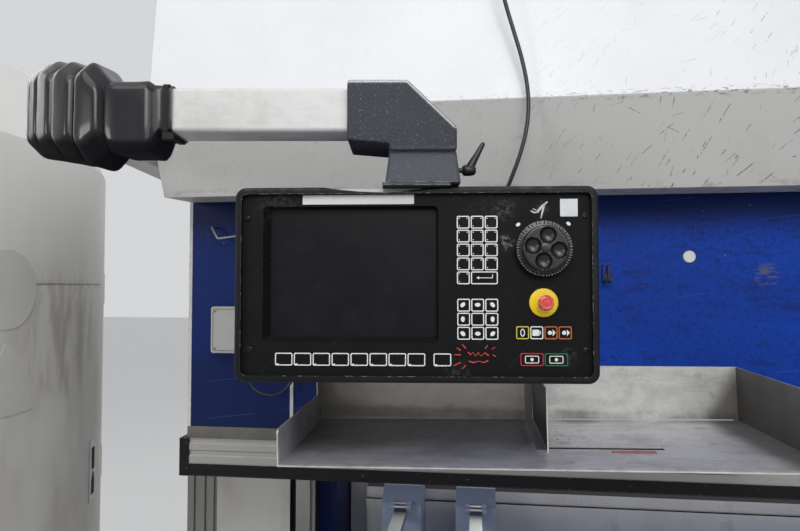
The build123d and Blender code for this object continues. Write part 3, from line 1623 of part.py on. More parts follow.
# Cables: straight runs joined by arcs as large as their runs allow
def cable_radii(points):
    """One radius for each corner: 0.45 of its shorter run over the tangent of half the turn."""
    radii = []
    for before, corner, after in zip(points, points[1:], points[2:]):
        run_in = Vector(*corner) - Vector(*before)
        run_out = Vector(*after) - Vector(*corner)
        turn = radians(run_in.get_angle(run_out))
        radii.append(0.45 * min(run_in.length, run_out.length) / tan(turn / 2))
    return radii


def cable_tube(points, radius):
    """A round tube along the route, and its length."""
    first = Vector(*points[1]) - Vector(*points[0])
    with BuildPart() as tube:
        with BuildLine() as route:
            FilletPolyline(*points, radius=cable_radii(points))
        with BuildSketch(Plane(origin=points[0], z_dir=first)):
            Circle(radius)
        sweep(path=route.wires()[0])
    return tube.part, route.wires()[0].length


# The black cable: out of the hood's face, down in front of it, and up into the hood's underside
cable_top = hood_top - hood_gland_drop
cable_fall = cable_top - hood_bottom
gland_face_y = crease_y + (cable_top - crease_z) * tan(radians(hood_lean))
hood_cable_points = [
    (-899, gland_face_y - 20, cable_top),
    (-899, gland_face_y - 47, cable_top),
    (-898, gland_face_y - 73, hood_bottom + 0.98 * cable_fall),
    (-892, crease_y - 24, hood_bottom + 0.931 * cable_fall),
    (-885, crease_y - 25, hood_bottom + 0.846 * cable_fall),
    (-876, crease_y - 25, hood_bottom + 0.74 * cable_fall),
    (-865.5, crease_y - 24, hood_bottom + 0.634 * cable_fall),
    (-852.5, crease_y - 23, hood_bottom + 0.529 * cable_fall),
    (-832.5, crease_y - 22, hood_bottom + 0.429 * cable_fall),
    (-814, crease_y - 21, hood_bottom + 0.337 * cable_fall),
    (-803.5, crease_y - 21, hood_bottom + 0.243 * cable_fall),
    (-807, crease_y - 22, hood_bottom + 0.157 * cable_fall),
    (-822, crease_y - 22, hood_bottom + 0.074 * cable_fall),
    (-841, crease_y - 21, hood_bottom + 4),
    (-854, chamfer_y - 86, hood_bottom - 31),
    (-864, chamfer_y - 61, hood_bottom - 54),
    (-872, chamfer_y - 25, hood_bottom - 58),
    (-877, chamfer_y + 3, hood_bottom - 44),
    (-879, chamfer_y + 15, hood_bottom - 22),
    (-879, chamfer_y + 15, hood_bottom - 8),
]
with BuildPart() as hood_cable:
    hood_tube, hood_cable_length = cable_tube(hood_cable_points, hood_cable_radius)
    add(hood_tube)
hood_cable.part.label = "hood_cable"
export_step(hood_cable.part, "parts/hood_cable.step")

# Glands of the black cable, on the hood's face and under it
face_gland = hood_cable_points[0]
under_gland = hood_cable_points[-1]
with BuildPart() as hood_glands:
    with BuildSketch(Plane(origin=face_gland, z_dir=(0, 1, 0))):
        Circle(9)
    extrude(until=Until.NEXT, target=hood_cover.part)
    post(under_gland[0], under_gland[1], (under_gland[2], hood_bottom), 9)
hood_glands.part.label = "hood_glands"
export_step(hood_glands.part, "parts/hood_glands.step")

# The short cable: from the junction box down in a loop and up into the ram's gland
ram_cable_points = [
    (ram_cable_start[0], ram_cable_start[1], ram_cable_start[2] + 6),
    (ram_cable_start[0], ram_cable_start[1], ram_cable_start[2] - 20),
    (-1449, ram_front - 30, ram_bottom + 121),
    (-1436, ram_front - 32, ram_bottom + 99),
    (-1412, ram_front - 33, ram_bottom + 86),
    (-1382, ram_front - 33, ram_bottom + 85),
    (-1357, ram_front - 32, ram_bottom + 98),
    (-1341, ram_front - 30, ram_bottom + 121),
    (-1332, ram_front - 29, ram_bottom + 149),
    (ram_cable_end[0], ram_cable_end[1], ram_cable_end[2] - 14),
    (ram_cable_end[0], ram_cable_end[1], ram_cable_end[2] + 6),
]
with BuildPart() as ram_cable:
    ram_tube, ram_cable_length = cable_tube(ram_cable_points, ram_cable_radius)
    add(ram_tube)
ram_cable.part.label = "ram_cable"
export_step(ram_cable.part, "parts/ram_cable.step")

for name, points, radius, length, solid in (
    ("hood cable", hood_cable_points, hood_cable_radius, hood_cable_length, hood_cable.part),
    ("ram cable", ram_cable_points, ram_cable_radius, ram_cable_length, ram_cable.part),
):
    volume_ratio = solid.volume / (pi * radius**2 * length)
    print(name, "radii", [round(r, 1) for r in cable_radii(points)])
    print(name, "length", round(length, 1), "volume ratio", round(volume_ratio, 4))
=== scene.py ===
import json
import math

import bmesh
import bpy
from bpy.props import FloatProperty, FloatVectorProperty, IntProperty, PointerProperty
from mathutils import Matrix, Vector, noise

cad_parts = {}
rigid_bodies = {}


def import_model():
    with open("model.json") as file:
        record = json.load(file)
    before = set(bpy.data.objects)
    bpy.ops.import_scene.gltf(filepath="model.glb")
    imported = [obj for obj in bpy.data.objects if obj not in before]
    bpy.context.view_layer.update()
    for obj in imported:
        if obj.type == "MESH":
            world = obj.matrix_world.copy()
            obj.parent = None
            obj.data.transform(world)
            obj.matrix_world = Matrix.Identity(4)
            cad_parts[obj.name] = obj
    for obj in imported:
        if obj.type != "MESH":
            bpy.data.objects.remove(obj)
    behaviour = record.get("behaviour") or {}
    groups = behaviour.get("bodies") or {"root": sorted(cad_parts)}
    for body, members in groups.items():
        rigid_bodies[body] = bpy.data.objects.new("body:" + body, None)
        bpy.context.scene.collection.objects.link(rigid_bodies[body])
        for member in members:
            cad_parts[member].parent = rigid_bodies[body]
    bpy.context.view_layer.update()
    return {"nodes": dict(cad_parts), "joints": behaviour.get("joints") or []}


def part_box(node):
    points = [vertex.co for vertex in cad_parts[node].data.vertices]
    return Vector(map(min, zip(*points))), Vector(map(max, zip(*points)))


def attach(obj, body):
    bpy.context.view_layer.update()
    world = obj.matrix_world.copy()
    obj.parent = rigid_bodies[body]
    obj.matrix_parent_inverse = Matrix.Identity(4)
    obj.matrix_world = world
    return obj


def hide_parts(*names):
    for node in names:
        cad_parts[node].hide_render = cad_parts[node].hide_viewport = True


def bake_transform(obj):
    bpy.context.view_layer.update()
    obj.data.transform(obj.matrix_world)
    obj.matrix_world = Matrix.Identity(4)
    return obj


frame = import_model()

bl_info = {
    "name": "Press brake dressing",
    "version": (1, 0, 0),
    "blender": (4, 5, 0),
    "location": "View3D > Sidebar > Press Brake",
    "description": "Finishes, cables, bellows, panel print, controls and fasteners of a press brake",
    "category": "Object",
}

NODES = frame["nodes"]
JOINTS = {joint["name"]: joint for joint in frame["joints"]}
MM = 0.001

# Routes of the two cables, in metres
HOOD_CABLE_ROUTE = [
    (-0.8990, -0.8191, 2.6480),
    (-0.8990, -0.8461, 2.6480),
    (-0.8980, -0.8721, 2.6340),
    (-0.8920, -0.8840, 2.5997),
    (-0.8850, -0.8850, 2.5402),
    (-0.8760, -0.8850, 2.4660),
    (-0.8655, -0.8840, 2.3918),
    (-0.8525, -0.8830, 2.3183),
    (-0.8325, -0.8820, 2.2483),
    (-0.8140, -0.8810, 2.1839),
    (-0.8035, -0.8810, 2.1181),
    (-0.8070, -0.8820, 2.0579),
    (-0.8220, -0.8820, 1.9998),
    (-0.8410, -0.8810, 1.9520),
    (-0.8540, -0.8730, 1.9170),
    (-0.8640, -0.8480, 1.8940),
    (-0.8720, -0.8120, 1.8900),
    (-0.8770, -0.7840, 1.9040),
    (-0.8790, -0.7720, 1.9260),
    (-0.8790, -0.7720, 1.9400),
]
RAM_CABLE_ROUTE = [
    (-1.454, -0.668, 1.582),
    (-1.454, -0.668, 1.556),
    (-1.449, -0.670, 1.524),
    (-1.436, -0.672, 1.502),
    (-1.412, -0.673, 1.489),
    (-1.382, -0.673, 1.488),
    (-1.357, -0.672, 1.501),
    (-1.341, -0.670, 1.524),
    (-1.332, -0.669, 1.552),
    (-1.330, -0.668, 1.579),
    (-1.330, -0.668, 1.599),
]
HOOD_CABLE_LENGTH = 0.9310
RAM_CABLE_LENGTH = 0.2715

# The panel's own axes: across its width, up, and out of its face
ACROSS_OUT = Vector(JOINTS["wheel_turn"]["axis"]).normalized()
ACROSS = Vector((0, 0, 1)).cross(ACROSS_OUT).normalized()
UP = Vector((0, 0, 1))
WHEEL_PLACE = (183.8, 50.8)
ESTOP_PLACE = (184.3, -26.2)
PANEL_CENTRE = Vector(JOINTS["wheel_turn"]["pos_m"]) - ACROSS * WHEEL_PLACE[0] * MM - UP * WHEEL_PLACE[1] * MM
FACE_OUT = -8.0
KEY_TOP = FACE_OUT + 0.8

# Where the keys sit on the panel, in millimetres across and up
KEY_PITCH = 20.1
KEYPAD_RIGHT = 140
FIRST_COLOUR_KEY = 154.1
START_STOP_BORDER = 184.4
CURSOR_MIDDLE = (90.3, -50.0)
CURSOR_ROWS_TOP = -20
COLOUR_ROW_TOP = -60
BOTTOM_ROW_TOP = -95

# The outer arm's own axes: towards the panel, and back from the arm's face
ARM_WAY = Vector(JOINTS["swivel_lock"]["axis"]).normalized()
ARM_BACK = UP.cross(ARM_WAY)


def panel_at(u, v, w=FACE_OUT):
    """A point on the panel, from millimetres across, up and out."""
    return PANEL_CENTRE + (ACROSS * u + UP * v + ACROSS_OUT * w) * MM


def swatch(name, description, default):
    """A colour that the panel shows."""
    return FloatVectorProperty(
        name=name, description=description, subtype="COLOR", size=3, min=0, max=1, default=default
    )


def measure(name, description, default, low, high):
    """A length that the panel shows, in metres."""
    return FloatProperty(
        name=name, description=description, unit="LENGTH", default=default, min=low, max=high
    )


class FinishColours(bpy.types.PropertyGroup):
    """Colours that someone would change first."""

    blue: swatch("Blue enamel", "Ram, table and uprights", (0.0035, 0.048, 0.375))
    hood: swatch("Hood white", "Hood over the cylinders", (0.70, 0.71, 0.735))
    cabinet: swatch("Cabinet grey", "Control cabinet and side casings", (0.74, 0.73, 0.70))
    arm: swatch("Arm grey", "Panel arm and light trims", (0.56, 0.56, 0.553))
    casting: swatch("Casting grey", "Knuckle and swivel coupling", (0.024, 0.026, 0.034))


class PrintSizes(bpy.types.PropertyGroup):
    """Sizes of the print and the small fasteners on the panel."""

    line: measure("Key frame line", "Width of the printed frame round a key", 0.0015, 0.0002, 0.005)
    corner: measure("Key corner", "Corner radius of a printed key frame", 0.0024, 0.0, 0.01)
    film: measure("Print height", "How far the print stands above the film", 0.00012, 0.00001, 0.001)
    screw: measure("Panel screw", "Radius of a panel screw's head", 0.0042, 0.001, 0.01)


class BellowsSizes(bpy.types.PropertyGroup):
    """Form of the rubber bellows over the elbow."""

    radius: measure("Bend radius", "Radius of the bend's centre line", 0.175, 0.05, 0.5)
    pleats: IntProperty(name="Pleats", description="Ribs round the bend", default=7, min=3, max=20)
    depth: measure("Pleat depth", "From a rib's top to the crease beside it", 0.010, 0.001, 0.03)


class Signal:
    """A socket of one finish. Python's operators on it add the nodes that work them out."""

    def __init__(self, finish, socket):
        self.finish = finish
        self.socket = socket

    def maths(self, operation, *values):
        return self.finish.node("Math", {"operation": operation}, values)

    def __add__(self, other):
        return self.maths("ADD", self, other)

    def __sub__(self, other):
        return self.maths("SUBTRACT", self, other)

    def __rsub__(self, other):
        return self.maths("SUBTRACT", other, self)

    def __mul__(self, other):
        return self.maths("MULTIPLY", self, other)

    def __truediv__(self, other):
        return self.maths("DIVIDE", self, other)

    def __abs__(self):
        return self.maths("ABSOLUTE", self)

    def over(self, low, high):
        """0 below low, 1 above high, and a smooth step between them."""
        settings = {"interpolation_type": "SMOOTHSTEP"}
        return self.finish.node("MapRange", settings, (self, low, high, 0.0, 1.0))

    def under(self, low, high):
        """1 below low, 0 above high."""
        return 1 - self.over(low, high)


class Finish:
    """One material: a Principled shader and short ways to make what drives its sockets."""

    def __init__(self, name, colour, roughness=0.5, metallic=0.0, **sockets):
        self.material = bpy.data.materials.new(name)
        self.material.use_nodes = True
        self.tree = self.material.node_tree
        self.shader = self.tree.nodes["Principled BSDF"]
        self.colour = (*colour[:3], 1.0)
        self.roughness = roughness
        self.place = self.node("TexCoord", output="Object")
        self.feed(self.shader.inputs["Base Color"], self.colour)
        self.feed(self.shader.inputs["Roughness"], roughness)
        self.feed(self.shader.inputs["Metallic"], metallic)
        for socket, value in sockets.items():
            self.feed(self.shader.inputs[socket.replace("_", " ")], value)
        self.heights = []

    def feed(self, socket, value):
        if isinstance(value, Signal):
            self.tree.links.new(value.socket, socket)
        else:
            socket.default_value = value

    def node(self, kind, settings=None, values=(), output=0):
        """Adds a node: its settings first, then the values or links of its sockets."""
        made = self.tree.nodes.new("ShaderNode" + kind)
        for name, value in (settings or {}).items():
            setattr(made, name, value)
        pairs = values.items() if isinstance(values, dict) else enumerate(values)
        for name, value in pairs:
            self.feed(made.inputs[name], value)
        return Signal(self, made.outputs[output])

    def blend(self, share, first, second):
        """A colour between two colours."""
        first, second = (c if isinstance(c, Signal) else (*c[:3], 1.0) for c in (first, second))
        return self.node("Mix", {"data_type": "RGBA"}, {0: share, 6: first, 7: second}, 2)

    def stretched(self, stretch, shift):
        """The place on the object, scaled along each axis and moved."""
        scaled = self.node("VectorMath", {"operation": "MULTIPLY"}, (self.place, stretch))
        return self.node("VectorMath", {"operation": "ADD"}, (scaled, shift))

    def turned(self, angle, plane="XZ"):
        """Two coordinates in a plane, turned by an angle, as signals."""
        parts = self.node("SeparateXYZ", values=(self.place,))
        outputs = parts.socket.node.outputs
        first = Signal(self, outputs[plane[0]])
        second = Signal(self, outputs[plane[1]])
        c, s = math.cos(angle), math.sin(angle)
        return first * c + second * s, second * c - first * s

    def along(self, axis):
        parts = self.node("SeparateXYZ", values=(self.place,))
        return Signal(self, parts.socket.node.outputs[axis])

    def grain(self, scale, detail=3.0, rough=0.55, stretch=(1, 1, 1), shift=(0, 0, 0)):
        """Noise between 0 and 1, at so many waves a metre."""
        values = {
            "Vector": self.stretched(stretch, shift), "Scale": scale,
            "Detail": detail, "Roughness": rough,
        }
        return self.node("TexNoise", {"noise_dimensions": "3D"}, values)

    def cells(self, scale, shift=(0, 0, 0)):
        """Distance to the nearest of a scatter of points."""
        values = {"Vector": self.stretched((1, 1, 1), shift), "Scale": scale}
        return self.node("TexVoronoi", {"feature": "F1"}, values)

    def scratches(self, angle, length, gap, width, share, plane="XZ", seed=0.0):
        """Short straight scratches, one in some cells of a stretched scatter."""
        u, v = self.turned(angle, plane)
        u = u / length + seed
        v = v / gap + seed * 1.7
        point = self.node("CombineXYZ", values=(u, v, 0.0))
        settings = {"feature": "F1", "voronoi_dimensions": "2D"}
        near = self.node("TexVoronoi", settings, {"Vector": point, "Scale": 1.0}, "Position")
        chance = Signal(self, near.socket.node.outputs["Color"])
        parts = self.node("SeparateXYZ", values=(near,)).socket.node.outputs
        luck = self.node("SeparateXYZ", values=(chance,)).socket.node.outputs
        reach = Signal(self, luck[1]) * 0.3 + 0.12
        across = abs(v - Signal(self, parts[1])) * gap
        ends = abs(u - Signal(self, parts[0])) / reach
        line = across.under(width * 0.35, width)
        return line * ends.under(0.6, 1.0) * Signal(self, luck[0]).under(share, share + 0.02)

    def edges(self, radius, low=0.02, high=0.16):
        """1 on outer and inner edges, from how a rounded normal leaves the true one."""
        rounded = self.node("Bevel", {"samples": 6}, {"Radius": radius})
        true = self.node("NewGeometry", output="Normal")
        facing = self.node("VectorMath", {"operation": "DOT_PRODUCT"}, (rounded, true), "Value")
        return (1 - facing).over(low, high)

    def crowns(self, radius, low, high):
        """1 along the edges below faces that look up, where light catches; it masks a painted highlight."""
        rounded = self.node("Bevel", {"samples": 6}, {"Radius": radius})
        true = self.node("NewGeometry", output="Normal")
        lift = self.node("VectorMath", {"operation": "SUBTRACT"}, (rounded, true))
        parts = self.node("SeparateXYZ", values=(lift,))
        return Signal(self, parts.socket.node.outputs["Z"]).over(low, high)

    def facing(self, way, low, high):
        """1 where a face looks a way, 0 where it turns from it."""
        true = self.node("NewGeometry", output="Normal")
        lean = self.node("VectorMath", {"operation": "DOT_PRODUCT"}, (true, tuple(way)), "Value")
        return lean.over(low, high)

    def patch(self, centre, reach, low=0.4, high=1.0):
        """1 at a place on the object, falling to 0 round it."""
        distance = self.node(
            "VectorMath", {"operation": "DISTANCE"}, (self.place, tuple(centre)), "Value"
        )
        return (distance / reach).under(low, high)

    def paint(self, share, colour):
        """Lays a colour over what is there, as far as share says."""
        self.colour = self.blend(share, self.colour, colour)

    def stain(self, colour, share, low, high, *grain, where=None, **kinds):
        """Paints a colour in clouds, where noise climbs from low to high, in a given region."""
        clouds = self.grain(*grain, **kinds).over(low, high) * share
        self.paint(clouds if where is None else clouds * where, colour)

    def polish(self, share, roughness):
        """Moves the roughness towards a value, as far as share says."""
        self.roughness = share * roughness + (1 - share) * self.roughness

    def bump(self, height, distance):
        self.heights.append(height * distance)

    def done(self, bump_strength=1.0):
        self.feed(self.shader.inputs["Base Color"], self.colour)
        self.feed(self.shader.inputs["Roughness"], self.roughness)
        if self.heights:
            total = self.heights[0]
            for height in self.heights[1:]:
                total = total + height
            values = {"Height": total, "Strength": bump_strength, "Distance": 1.0}
            self.feed(self.shader.inputs["Normal"], self.node("Bump", values=values))
        return self.material


# Finishes
def toned(colour, share, lift=0.0):
    """A colour made darker or lighter by a share, and lifted."""
    return tuple(c * share + lift for c in colour)


def enamel(name, colour, roughness=0.42, wear=(0.25, 0.25, 0.25), edge=0.0025, peel=1.0, shine=0.4):
    """Sprayed machine enamel: a faint peel, uneven tone, grime and worn edges."""
    finish = Finish(name, colour, roughness, Specular_IOR_Level=shine)
    tone = finish.grain(2.2, 4, 0.6)
    finish.paint(tone.over(0.35, 0.75) * 0.55, toned(colour, 0.82))
    finish.stain(toned(colour, 0.6, 0.01), 0.18, 0.6, 0.8, 38, 5, 0.7)
    finish.stain(wear, 0.8, 0.5, 0.6, 90, 3, where=finish.edges(edge))
    finish.polish(tone.over(0.3, 0.8) * 0.5, roughness + 0.14)
    finish.bump(finish.grain(420, 2), 0.00006 * peel)
    finish.bump(finish.grain(9, 2), 0.0004 * peel)
    return finish


def blue_enamel(colours):
    """Deep blue, mottled by fine specks, with dirt, rubs, small chips and painted shade."""
    finish = enamel("blue_enamel", colours.blue, 0.42, wear=(0.12, 0.13, 0.16), shine=0.13)
    left, front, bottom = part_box("ram_plate")[0]
    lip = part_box("hood_cover")[0].z
    x, z = finish.along("X"), finish.along("Z")
    finish.stain(toned(colours.blue, 0.5), 0.6, 0.46, 0.62, 105, 4, 0.8)
    finish.stain((0.008, 0.014, 0.07), 0.5, 0.52, 0.64, 38, 5, 0.75, (0.4, 1, 1.5), (9, 1, 4))
    pale = finish.cells(170, (1, 2, 3)).under(0.14, 0.22)
    finish.stain((0.03, 0.085, 0.33), 0.3, 0.46, 0.62, 24, 2, where=pale)
    # Painted shade: darker towards the left end behind the panel, under the hood's lip and in the lower left
    # corner
    finish.paint(x.under(left + 0.3075, left + 0.6575) * 0.85, (0.003, 0.013, 0.080))
    finish.paint(z.over(lip - 0.083, lip - 0.018) * 0.78, (0.005, 0.010, 0.05))
    corner = x.under(left + 0.2875, left + 0.4275) * z.under(bottom + 0.097, bottom + 0.237)
    finish.paint(corner * 0.7, (0.006, 0.012, 0.045))
    finish.stain((0.006, 0.022, 0.15), 0.35, 0.42, 0.72, 3.2, 3, 0.6, (0.5, 1, 1.4), (6, 1, 2))
    specks = finish.cells(60, (7, 2, 5)).under(0.08, 0.16)
    finish.stain((0.008, 0.010, 0.03), 0.8, 0.46, 0.58, 9, 2, shift=(4, 4, 4), where=specks)
    finish.paint(finish.scratches(0.12, 0.22, 0.11, 0.0011, 0.22, seed=3.1) * 0.4, (0.06, 0.10, 0.28))
    finish.paint(finish.scratches(1.9, 0.09, 0.13, 0.0012, 0.16, seed=8.4) * 0.4, (0.05, 0.06, 0.12))
    chips = finish.cells(31, (3, 1, 2)).under(0.03, 0.06)
    finish.stain((0.24, 0.25, 0.26), 0.7, 0.50, 0.58, 7, 2, where=chips)
    rub = finish.patch((left + 1.3405, front, bottom + 0.369), 0.034)
    finish.stain((0.15, 0.13, 0.07), 0.55, 0.44, 0.6, 70, 3, 0.6, (0.5, 1, 2), where=rub)
    return finish.done()


def hood_enamel(colours):
    """White enamel, scratched and chipped along the crease over the chamfer, with painted shade greying the
    chamfer below the crease.
    """
    finish = enamel("hood_enamel", colours.hood, 0.4, wear=(0.14, 0.13, 0.12), edge=0.002, peel=0.8)
    finish.stain((0.66, 0.65, 0.64), 0.25, 0.45, 0.8, 1.4, 3)
    height = finish.along("Z")
    hood_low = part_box("hood_cover")[0]
    bottom, crease = hood_low.z, hood_low.z + 0.174
    low_part = height.under(crease - 0.004, crease + 0.002)
    # Painted shade: the down-facing chamfer below the crease is painted grey
    finish.paint(low_part * 0.85, (0.47, 0.46, 0.445))
    finish.stain((0.37, 0.36, 0.345), 0.3, 0.5, 0.75, 6, 4, 0.65, (0.7, 1, 1.2), (3, 1, 8), where=low_part)
    right = finish.along("X").over(hood_low.x + 0.655, hood_low.x + 1.305)
    scratch_kinds = (  # angle, share, length, gap, width
        (0.70, 0.50, 0.060, 0.034, 0.0013), (0.98, 0.45, 0.035, 0.024, 0.0016),
        (-0.45, 0.25, 0.08, 0.05, 0.0010), (1.45, 0.30, 0.03, 0.03, 0.0013),
        (0.25, 0.25, 0.05, 0.04, 0.0011), (1.10, 0.40, 0.055, 0.030, 0.0012),
    )
    for number, (angle, share, length, gap, width) in enumerate(scratch_kinds):
        lines = finish.scratches(angle, length, gap, width, share, seed=2.3 * number + 0.7)
        groups = finish.grain(5, 3, 0.6, shift=(number, 3, number)).over(0.43, 0.56)
        broken = finish.grain(190, 2, shift=(number, 0, 1)).over(0.38, 0.5)
        strength = (low_part * 0.6 + 0.4) * (right * 0.8 + 0.2)
        finish.paint(lines * groups * broken * strength, (0.07, 0.066, 0.062))
    chipped = abs(height - crease).under(0.003, 0.014) * (right * 0.7 + 0.3)
    finish.stain((0.17, 0.16, 0.15), 0.9, 0.54, 0.61, 85, 3, 0.65, (0.7, 1, 2.2), where=chipped)
    low_edge = height.under(bottom + 0.002, bottom + 0.024)
    finish.stain((0.30, 0.28, 0.25), 0.5, 0.5, 0.62, 30, 3, 0.6, (1, 1, 2), where=low_edge)
    finish.bump(finish.grain(3.2, 2), 0.0015)
    return finish.done()


def cabinet_enamel(colours):
    """Grey enamel with brown stains, streaks, a welded seam and a painted lighter top."""
    finish = enamel("cabinet_enamel", colours.cabinet, 0.42, wear=(0.2, 0.19, 0.17))
    shell_low, shell_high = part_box("cabinet_shell")
    right, back, top = shell_high
    finish.stain((0.34, 0.31, 0.25), 0.5, 0.46, 0.72, 1.7, 4, 0.65, (1, 1, 0.45), (2, 5, 1))
    finish.stain((0.33, 0.30, 0.26), 0.18, 0.55, 0.75, 9, 3, 0.6, (1, 1, 0.12))
    specks = finish.cells(34, (1, 4, 2)).under(0.02, 0.035)
    finish.stain((0.12, 0.11, 0.10), 0.7, 0.5, 0.6, 5, 2, where=specks)
    scuff = finish.patch((right - 0.025, shell_low.y + 0.41, top - 0.68), 0.26)
    finish.stain((0.26, 0.215, 0.15), 0.55, 0.40, 0.66, 13, 4, 0.6, (1, 1.5, 0.4), where=scuff)
    # Painted light: the upper part is painted lighter, as if lit from above
    finish.paint(finish.along("Z").over(top - 0.64, top - 0.33) * 0.75, (0.85, 0.84, 0.82))
    # The seam runs across the bowed side alone
    bowed = finish.along("X").over(right - 0.325, right - 0.305)
    bowed = bowed * finish.along("Y").under(back - 0.26, back - 0.24)
    height = finish.along("Z") + finish.grain(7, 2) * 0.006
    seam = abs(height - (top - 0.5445)).under(0.0012, 0.0032)
    finish.paint(seam * bowed * 0.8, (0.17, 0.15, 0.13))
    halo = abs(height - (top - 0.547)).under(0.004, 0.02)
    finish.stain((0.28, 0.26, 0.22), 0.3, 0.42, 0.62, 40, 3, where=halo * bowed)
    return finish.done()


def arm_enamel(colours):
    """Light grey enamel, handled and dirty."""
    finish = enamel("arm_enamel", colours.arm, 0.4, wear=(0.10, 0.095, 0.09), edge=0.003)
    finish.stain((0.34, 0.33, 0.31), 0.4, 0.48, 0.72, 11, 5, 0.7, (0.7, 1, 1.5))
    finish.stain((0.36, 0.35, 0.335), 0.3, 0.48, 0.68, 45, 5, 0.7, (0.5, 1, 1), (8, 2, 2))
    finish.stain((0.38, 0.37, 0.35), 0.3, 0.52, 0.7, 24, 4, 0.65, (1.6, 1, 0.35), (3, 3, 3))
    spots = finish.cells(46, (2, 3, 1)).under(0.05, 0.09)
    finish.stain((0.15, 0.145, 0.135), 0.7, 0.5, 0.62, 8, 2, shift=(1, 6, 2), where=spots)
    return finish.done()


def casting_enamel(colours):
    """Dark hammered enamel with bright worn edges and a painted highlight on its upper edges."""
    finish = Finish("casting_enamel", colours.casting, 0.48, Specular_IOR_Level=0.22)
    finish.stain((0.038, 0.041, 0.052), 0.5, 0.4, 0.75, 9, 4, 0.6)
    height = finish.along("Z")
    knuckle_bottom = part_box("knuckle")[0].z
    arm_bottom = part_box("outer_arm")[0].z
    below_knuckle = height.under(knuckle_bottom - 0.0038, knuckle_bottom + 0.0082)
    finish.paint(below_knuckle * 0.85, (0.062, 0.065, 0.080))
    finish.bump(finish.grain(330, 3, 0.65), 0.0010)
    finish.bump(finish.cells(420), 0.00025)
    finish.stain((0.22, 0.23, 0.27), 0.55, 0.64, 0.71, 420, 2, shift=(5, 1, 1))
    worn = finish.edges(0.0022, 0.02, 0.2) * finish.grain(60, 3).over(0.38, 0.52)
    finish.paint(worn * 0.6, (0.40, 0.41, 0.44))
    # Painted highlight: near white along the edges below upward faces, above the arm's bottom
    rim = finish.crowns(0.0055, 0.03, 0.12) * height.over(arm_bottom - 0.0043, arm_bottom + 0.0017)
    finish.paint(rim * 0.95, (0.80, 0.81, 0.82))
    finish.polish(finish.facing((0, 0, -1), 0.4, 0.8), 0.95)
    finish.polish(worn, 0.3)
    return finish.done(0.9)


def panel_enamel():
    """Black crinkle enamel of the panel's frame, worn grey along its rim, with bright specks on its edges
    that are partly a painted highlight.
    """
    finish = Finish("panel_enamel", (0.0055, 0.0057, 0.0065), 0.42, Specular_IOR_Level=0.16)
    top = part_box("panel_bezel")[1].z
    finish.stain((0.015, 0.0155, 0.017), 0.5, 0.45, 0.75, 14, 4, 0.6)
    finish.bump(finish.grain(520, 2, 0.6), 0.0003)
    worn, bare = finish.edges(0.004, 0.03, 0.22), finish.edges(0.0022, 0.05, 0.25)
    finish.stain((0.085, 0.087, 0.095), 0.35, 0.42, 0.62, 45, 4, 0.65, where=worn)
    # Bright specks on the edges: partly worn paint, partly a painted highlight
    finish.stain((0.42, 0.42, 0.42), 0.8, 0.54, 0.62, 150, 3, where=bare)
    dusty = finish.along("Z").over(top - 0.0092, top - 0.0012)
    finish.stain((0.09, 0.09, 0.092), 0.35, 0.42, 0.62, 60, 4, 0.65, where=dusty)
    return finish.done()


def film_black():
    """The panel's printed film: matt black with rubbed and dusty places."""
    finish = Finish("film_black", (0.0046, 0.0048, 0.0054), 0.5, Specular_IOR_Level=0.09)
    finish.stain((0.0095, 0.0095, 0.0108), 0.45, 0.45, 0.8, 16, 5, 0.65)
    for place, reach, strength in (
        ((183.7, 110.4), 0.013, 0.3), ((134.2, 58.9), 0.015, 0.55), ((131.0, 66.0), 0.012, 0.4),
        ((130.2, 107.3), 0.020, 0.22), ((216, -103), 0.02, 0.14), ((60, -130), 0.03, 0.1),
        ((-200, 118), 0.05, 0.10), ((110, 118), 0.05, 0.05),
    ):
        rubbed = finish.patch(panel_at(*place), reach, 0.1, 1.0)
        finish.stain((0.30, 0.30, 0.32), strength, 0.42, 0.7, 140, 4, 0.7, where=rubbed)
    finish.paint(finish.scratches(0.9, 0.12, 0.05, 0.0004, 0.5, seed=1.9) * 0.2, (0.09, 0.09, 0.10))
    finish.paint(finish.scratches(-0.6, 0.05, 0.022, 0.0003, 0.45, seed=5.2) * 0.14, (0.09, 0.09, 0.10))
    finish.polish(finish.grain(26, 4).over(0.4, 0.7), 0.62)
    finish.bump(finish.grain(900, 1), 0.00003)
    return finish.done()


def screen_glass():
    """Matt screen glass, wiped and smeared."""
    finish = Finish("screen_glass", (0.0040, 0.0042, 0.0052), 0.34, Specular_IOR_Level=0.15)
    finish.stain((0.009, 0.0094, 0.0108), 0.4, 0.42, 0.8, 13, 5, 0.65, (1, 1, 0.7))
    finish.polish(finish.grain(30, 4).over(0.4, 0.75), 0.46)
    return finish.done()


def printed(name, colour, worn=0.35):
    """Thin print that is rubbed through in places."""
    finish = Finish(name, colour, 0.5, Specular_IOR_Level=0.3)
    finish.stain(toned(colour, 0.35), worn, 0.58, 0.72, 260, 3, 0.6)
    return finish.done()


def moulded(name, colour, roughness=0.42, scuff=(0.2, 0.2, 0.2), edge=0.0012, amount=0.5, shine=0.4):
    """Moulded plastic with a fine grain and scuffed edges."""
    finish = Finish(name, colour, roughness, Specular_IOR_Level=shine)
    finish.stain(toned(colour, 0.7, 0.003), 0.3, 0.5, 0.8, 40, 4, 0.6)
    finish.stain(scuff, amount, 0.45, 0.6, 160, 3, where=finish.edges(edge))
    finish.bump(finish.grain(700, 2), 0.00005)
    return finish.done()


def stop_red():
    """Red button plastic, pale in a speckled ring round the head's rim: partly rubbed by many hands, partly a
    painted highlight.
    """
    finish = Finish("stop_red", (0.56, 0.045, 0.045), 0.32, Coat_Weight=0.3, Coat_Roughness=0.2)
    pale = finish.grain(170, 3, 0.6).over(0.44, 0.62)
    ring = finish.patch(panel_at(*ESTOP_PLACE, 18), 0.0125, 0.55, 0.75)
    # Painted highlight mixed with wear: pale specks in a ring round the head's rim
    finish.paint(pale * (1 - ring) * 0.55, (0.78, 0.42, 0.40))
    return finish.done()


